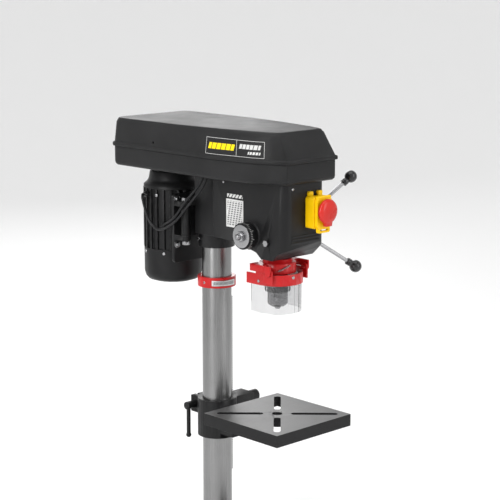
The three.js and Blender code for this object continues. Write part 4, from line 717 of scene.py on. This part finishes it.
class PRESS_OT_chuck(PieceOperator, bpy.types.Operator):
    """Make the chuck's toothed and knurled sleeve"""

    bl_idname = "press.chuck"
    bl_label = "Chuck sleeve"

    def make(self, sizes, colours):
        def teeth(theta, height, radius):
            gear = 0.5 + 0.5 * np.cos(theta * 30)
            knurl = 0.5 + 0.5 * np.cos(theta * 90)
            low = np.clip((678 - height) / 6, 0, 1) * (radius > 26)
            band = ((height > 683) & (height < 699) & (radius > 26)).astype(float)
            return radius - 1.6 * low * gear - 0.5 * band * knurl
        heights = [[24, 666.4], [27.4, 666.4], [28.8, 669], [28.8, 677], [28.0, 679.5], [28.0, 681.5],
                   [28.8, 683.2], [28.8, 698.8], [28.0, 700.4], [27.6, 703.6], [24, 703.8], [24, 666.4]]
        middle = (*np.array(SPINDLE) / MM, 0)
        sleeve = revolved("chuck_key_ring", heights, middle, segments=720, shape=teeth, angle=28)
        place(sleeve, "chuck_sleeve", finish_of("chuck_sleeve"), ["chuck_sleeve"])


class PRESS_OT_feed_knobs(PieceOperator, bpy.types.Operator):
    """Make the three ball knobs with their ribbed necks"""

    bl_idname = "press.feed_knobs"
    bl_label = "Feed knobs"

    def make(self, sizes, colours):
        ball = sizes.ball_radius / MM
        t = np.linspace(math.radians(-56), np.pi / 2, 24)
        sphere = np.stack([ball * np.cos(t), ball * np.sin(t)], axis=1)
        neck = np.array([[4.8, -25.4], [7.6, -25.4], [8.6, -24.4], [8.6, -21.5], [7.9, -20.8], [7.9, -19.6],
                         [8.6, -18.9], [8.4, -15.6], [7.6, -13.4]])
        splay = np.array([134.0, 122.0]) / math.hypot(134, 122)
        for i, degrees in enumerate((65, -55, -175), 1):
            turn = math.radians(degrees)
            out = np.array([0, -math.cos(turn), math.sin(turn)])
            axis = np.array([splay[0], 0, 0]) + out * splay[1]
            centre = np.array([212, FEED_AXIS[0] / MM, FEED_AXIS[1] / MM]) + out * 122
            node = f"feed_knob_{i}"
            made = revolved(f"ball_knob_{i}", np.vstack([neck, sphere]), centre, axis, 64)
            place(made, node, finish_of(node), [node])


class PRESS_OT_spring_cap(PieceOperator, bpy.types.Operator):
    """Make the return spring's dished washer, its nut and the depth scale's marks"""

    bl_idname = "press.spring_cap"
    bl_label = "Spring cap"

    def make(self, sizes, colours):
        centre = (0, FEED_AXIS[0] / MM, FEED_AXIS[1] / MM)
        dish = rounded([[7.6, 89.9], [24.8, 89.9], [26.2, 90.6], [26.2, 92.2], [7.6, 92.3], [7.6, 89.9]],
                       0.5, 4)
        washer = revolved("spring_washer", dish, centre, (-1, 0, 0), 96)
        place(washer, "spring_cap_washer", finish_of("spring_cap_washer"), ["spring_cap_washer"])
        turn, side = np.meshgrid(np.linspace(0, 2 * np.pi, 241), np.linspace(-88.6, -74, 7), indexing="ij")
        rim = np.stack([side, centre[1] + 30.2 * np.cos(turn), centre[2] + 30.2 * np.sin(turn)], axis=2)
        step, row = np.meshgrid(np.arange(240), np.arange(6), indexing="ij")
        tick = (step % 5 == 0) & (row < np.where(step % 25 == 0, 4, 2))
        scale = make_object("depth_scale", rim.reshape(-1, 3), grid_faces(241, 7, False, False),
                            indices=tick.astype(int).ravel(), merge=False)
        place(scale, "frame", [FINISHES["cast_black"], FINISHES["label_white"]])
        profile = [[7.4, 93.0], [12.6, 93.0], [12.6, 99.4], [12.4, 100.0], [11.6, 100.7], [9.0, 100.7],
                   [7.4, 100.2], [7.4, 93.0]]
        nut = revolved("spring_nut", profile, centre, (-1, 0, 0), 96, hexagon(11, 99.6, 100.7))
        place(nut, "spring_cap_nut", finish_of("spring_cap_nut"), ["spring_cap_nut"])


class PRESS_OT_leads(PieceOperator, bpy.types.Operator):
    """Make the motor's two leads along their routes"""

    bl_idname = "press.leads"
    bl_label = "Motor leads"

    def make(self, sizes, colours):
        for i, route in enumerate(LEAD_ROUTES, 1):
            node = f"motor_lead_{i}"
            made = tube(f"lead_sheath_{i}", smooth_route(route, 14), LEAD_RADIUS - 0.05)
            place(made, node, finish_of(node), [node])


class PRESS_OT_fasteners(PieceOperator, bpy.types.Operator):
    """Make the bolts and screws that show"""

    bl_idname = "press.fasteners"
    bl_label = "Bolts and screws"

    def make(self, sizes, colours):
        steel = FINISHES["bright_steel"]
        flats = sizes.bolt_flats / MM
        made = []
        for i, degrees in enumerate((90, 210, 330), 1):
            turn = math.radians(degrees)
            seat = (63 * math.cos(turn), 63 * math.sin(turn), 52.4)
            made += [(p, "frame") for p in hex_bolt(f"flange_bolt_{i}", seat, (0, 0, 1), flats)]
        for i, (x, z) in enumerate(((-68, 855), (-68, 746), (38, 855), (38, 746)), 1):
            made += [(p, "motor") for p in hex_bolt(f"motor_bolt_{i}", (x, 64, z), (0, -1, 0), flats * 0.85)]
        for i, (x, y, z) in enumerate(((-68.1, 182.3, 714), (-60.4, 120.9, 714), (-68.7, 136.3, 855)), 1):
            axis = np.array([x, y - MOTOR_Y, 0]) / math.hypot(x, y - MOTOR_Y)
            seat = np.array([0, MOTOR_Y, z]) + axis * (COWL_SKIN if z < COWL_TOP else MOTOR_SKIN)
            made += [(p, "motor") for p in pan_screw(f"motor_screw_{i}", seat, axis, 4.2)]
        seats = (
            ("tray_screw_1", (HEAD_LEFT, -95, 912), (-1, 0, 0), "frame"),
            ("tray_screw_2", (-41, HEAD_FRONT, 913), (0, -1, 0), "frame"),
            ("switch_screw", (10, HEAD_FRONT, 899), (0, -1, 0), "frame"),
        )
        for name, seat, axis, body in seats:
            made += [(p, body) for p in pan_screw(name, seat, axis, 3.4, 2.2, 1.4)]
        for i, (x, y, z) in enumerate(((-57.9, -202.3, 697), (-8, -262.4, 706)), 1):
            middle = SPINDLE[1] / MM
            axis = np.array([x, y - middle, 0]) / math.hypot(x, y - middle)
            seat = np.array([0, middle, z]) + axis * GUARD_SKIN
            made += [(p, "guard") for p in pan_screw(f"guard_screw_{i}", seat, axis, 3.6, 2.2, 1.4)]
        for piece, body in made:
            place(piece, body, steel)


class PRESS_OT_labels(PieceOperator, bpy.types.Operator):
    """Make the plain speed chart on the head and the plain panel on the cover"""

    bl_idname = "press.labels"
    bl_label = "Labels"

    def make(self, sizes, colours):
        inks = [FINISHES[name] for name in ("label_white", "label_ink", "label_yellow", "cover_grey")]
        rows, columns = 66, 56
        z, y = np.meshgrid(np.linspace(875, 810.5, rows), np.linspace(-104, -160, columns), indexing="ij")
        points = np.stack([np.full_like(z, HEAD_LEFT - LABEL_LIFT), y, z], axis=2)
        row, column = np.meshgrid(np.arange(rows - 1), np.arange(columns - 1), indexing="ij")
        inside = (row > 3) & (row < rows - 5) & (column > 3) & (column < columns - 5)
        cell = (row % 5 > 1) & ((column + row // 5) % 9 > 2)
        picked = (inside & cell).astype(int)
        chart = make_object("speed_chart", points.reshape(-1, 3), grid_faces(rows, columns, False, False),
                            indices=picked.ravel(), merge=False)
        chart.data.flip_normals()
        place(chart, "frame", inks[:2])
        z, y = np.meshgrid(np.linspace(887, 879, 5), np.linspace(-107, -158, 35), indexing="ij")
        points = np.stack([np.full_like(z, HEAD_LEFT - LABEL_LIFT), y, z], axis=2)
        row, column = np.meshgrid(np.arange(4), np.arange(34), indexing="ij")
        bars = make_object("head_bars", points.reshape(-1, 3), grid_faces(5, 35, False, False),
                           indices=((column + row) % 7 > 4).astype(int).ravel(), merge=False)
        bars.data.flip_normals()
        place(bars, "frame", [inks[0], FINISHES["cast_black"]])
        rows, columns = 44, 180
        v, u = np.meshgrid(np.linspace(0, 1, rows), np.linspace(0, 1, columns), indexing="ij")
        y = -96 + u * (-160 - 3 * v)
        z = 1019.5 - u - v * (37 - u)
        points = np.stack([np.full_like(z, -180.0), y, z], axis=2)
        row, column = np.meshgrid(np.arange(rows - 1), np.arange(columns - 1), indexing="ij")
        split = int(columns * 0.55)
        border = (row < 1) | (row > rows - 3) | (column < 1) | (column > columns - 3) | (column == split)
        slant = column - (rows - row) // 4
        gaps = (slant % 15 < 2)
        yellow = (row > 12) & (row < 29) & (slant > 4) & (slant < split - 12) & ~gaps
        white = (row > 9) & (row < 22) & (slant > split + 2) & (slant < columns - 18) & (slant % 11 > 1)
        white |= (row > 27) & (row < 35) & (slant > split + 32) & (slant < columns - 14) & (slant % 8 > 1)
        picked = np.where(border | white, 0, np.where(yellow, 2, 3))
        panel = make_object("cover_panel", points.reshape(-1, 3), grid_faces(rows, columns, False, False),
                            indices=picked.ravel(), merge=False)
        wrap = panel.modifiers.new("Lay on cover", "SHRINKWRAP")
        wrap.target = frame["nodes"]["cover_lid"]
        wrap.wrap_method, wrap.use_project_x, wrap.use_positive_direction = "PROJECT", True, True
        wrap.offset = 0.0004
        bpy.context.view_layer.update()
        laid = bpy.data.meshes.new_from_object(panel.evaluated_get(bpy.context.evaluated_depsgraph_get()))
        panel.modifiers.clear()
        panel.data = laid
        place(panel, "cover", inks)


class PRESS_OT_guard_spring(PieceOperator, bpy.types.Operator):
    """Make the small tension spring on the guard"""

    bl_idname = "press.guard_spring"
    bl_label = "Guard spring"

    def make(self, sizes, colours):
        start, end = np.array([-31.5, -238.5, 719.5]), np.array([-5.2, -250.7, 732.5])
        across, up, along = turned_frame(end - start)
        t = np.linspace(0, 1, 520)[:, None]
        turn = 2 * np.pi * 15 * t
        coil = start + (end - start) * t + 1.9 * (np.cos(turn) * across + np.sin(turn) * up)
        made = tube("guard_tension_spring", coil, sizes.spring_wire / MM, 8)
        place(made, "frame", FINISHES["bright_steel"])


OPERATORS = (
    PRESS_OT_stage, PRESS_OT_finishes, PRESS_OT_castings, PRESS_OT_column, PRESS_OT_chuck,
    PRESS_OT_feed_knobs, PRESS_OT_spring_cap, PRESS_OT_leads, PRESS_OT_fasteners, PRESS_OT_labels,
    PRESS_OT_guard_spring,
)


class PRESS_PT_panel(bpy.types.Panel):
    """The drill press's panel in the sidebar"""

    bl_idname = "PRESS_PT_panel"
    bl_label = "Drill press"
    bl_space_type = "VIEW_3D"
    bl_region_type = "UI"
    bl_category = "Drill press"

    def draw(self, context):
        for group in (context.scene.press_sizes, context.scene.press_colours):
            for name in group.__annotations__:
                self.layout.prop(group, name)
        for operator in OPERATORS:
            self.layout.operator(operator.bl_idname)


CLASSES = (PressSizes, PressColours, *OPERATORS, PRESS_PT_panel)


def register():
    for item in CLASSES:
        bpy.utils.register_class(item)
    bpy.types.Scene.press_sizes = bpy.props.PointerProperty(type=PressSizes)
    bpy.types.Scene.press_colours = bpy.props.PointerProperty(type=PressColours)


def unregister():
    del bpy.types.Scene.press_colours
    del bpy.types.Scene.press_sizes
    for item in reversed(CLASSES):
        bpy.utils.unregister_class(item)


def main():
    register()
    for operator in OPERATORS:
        group, name = operator.bl_idname.split(".")
        getattr(getattr(bpy.ops, group), name)()


if __name__ == "__main__":
    main()
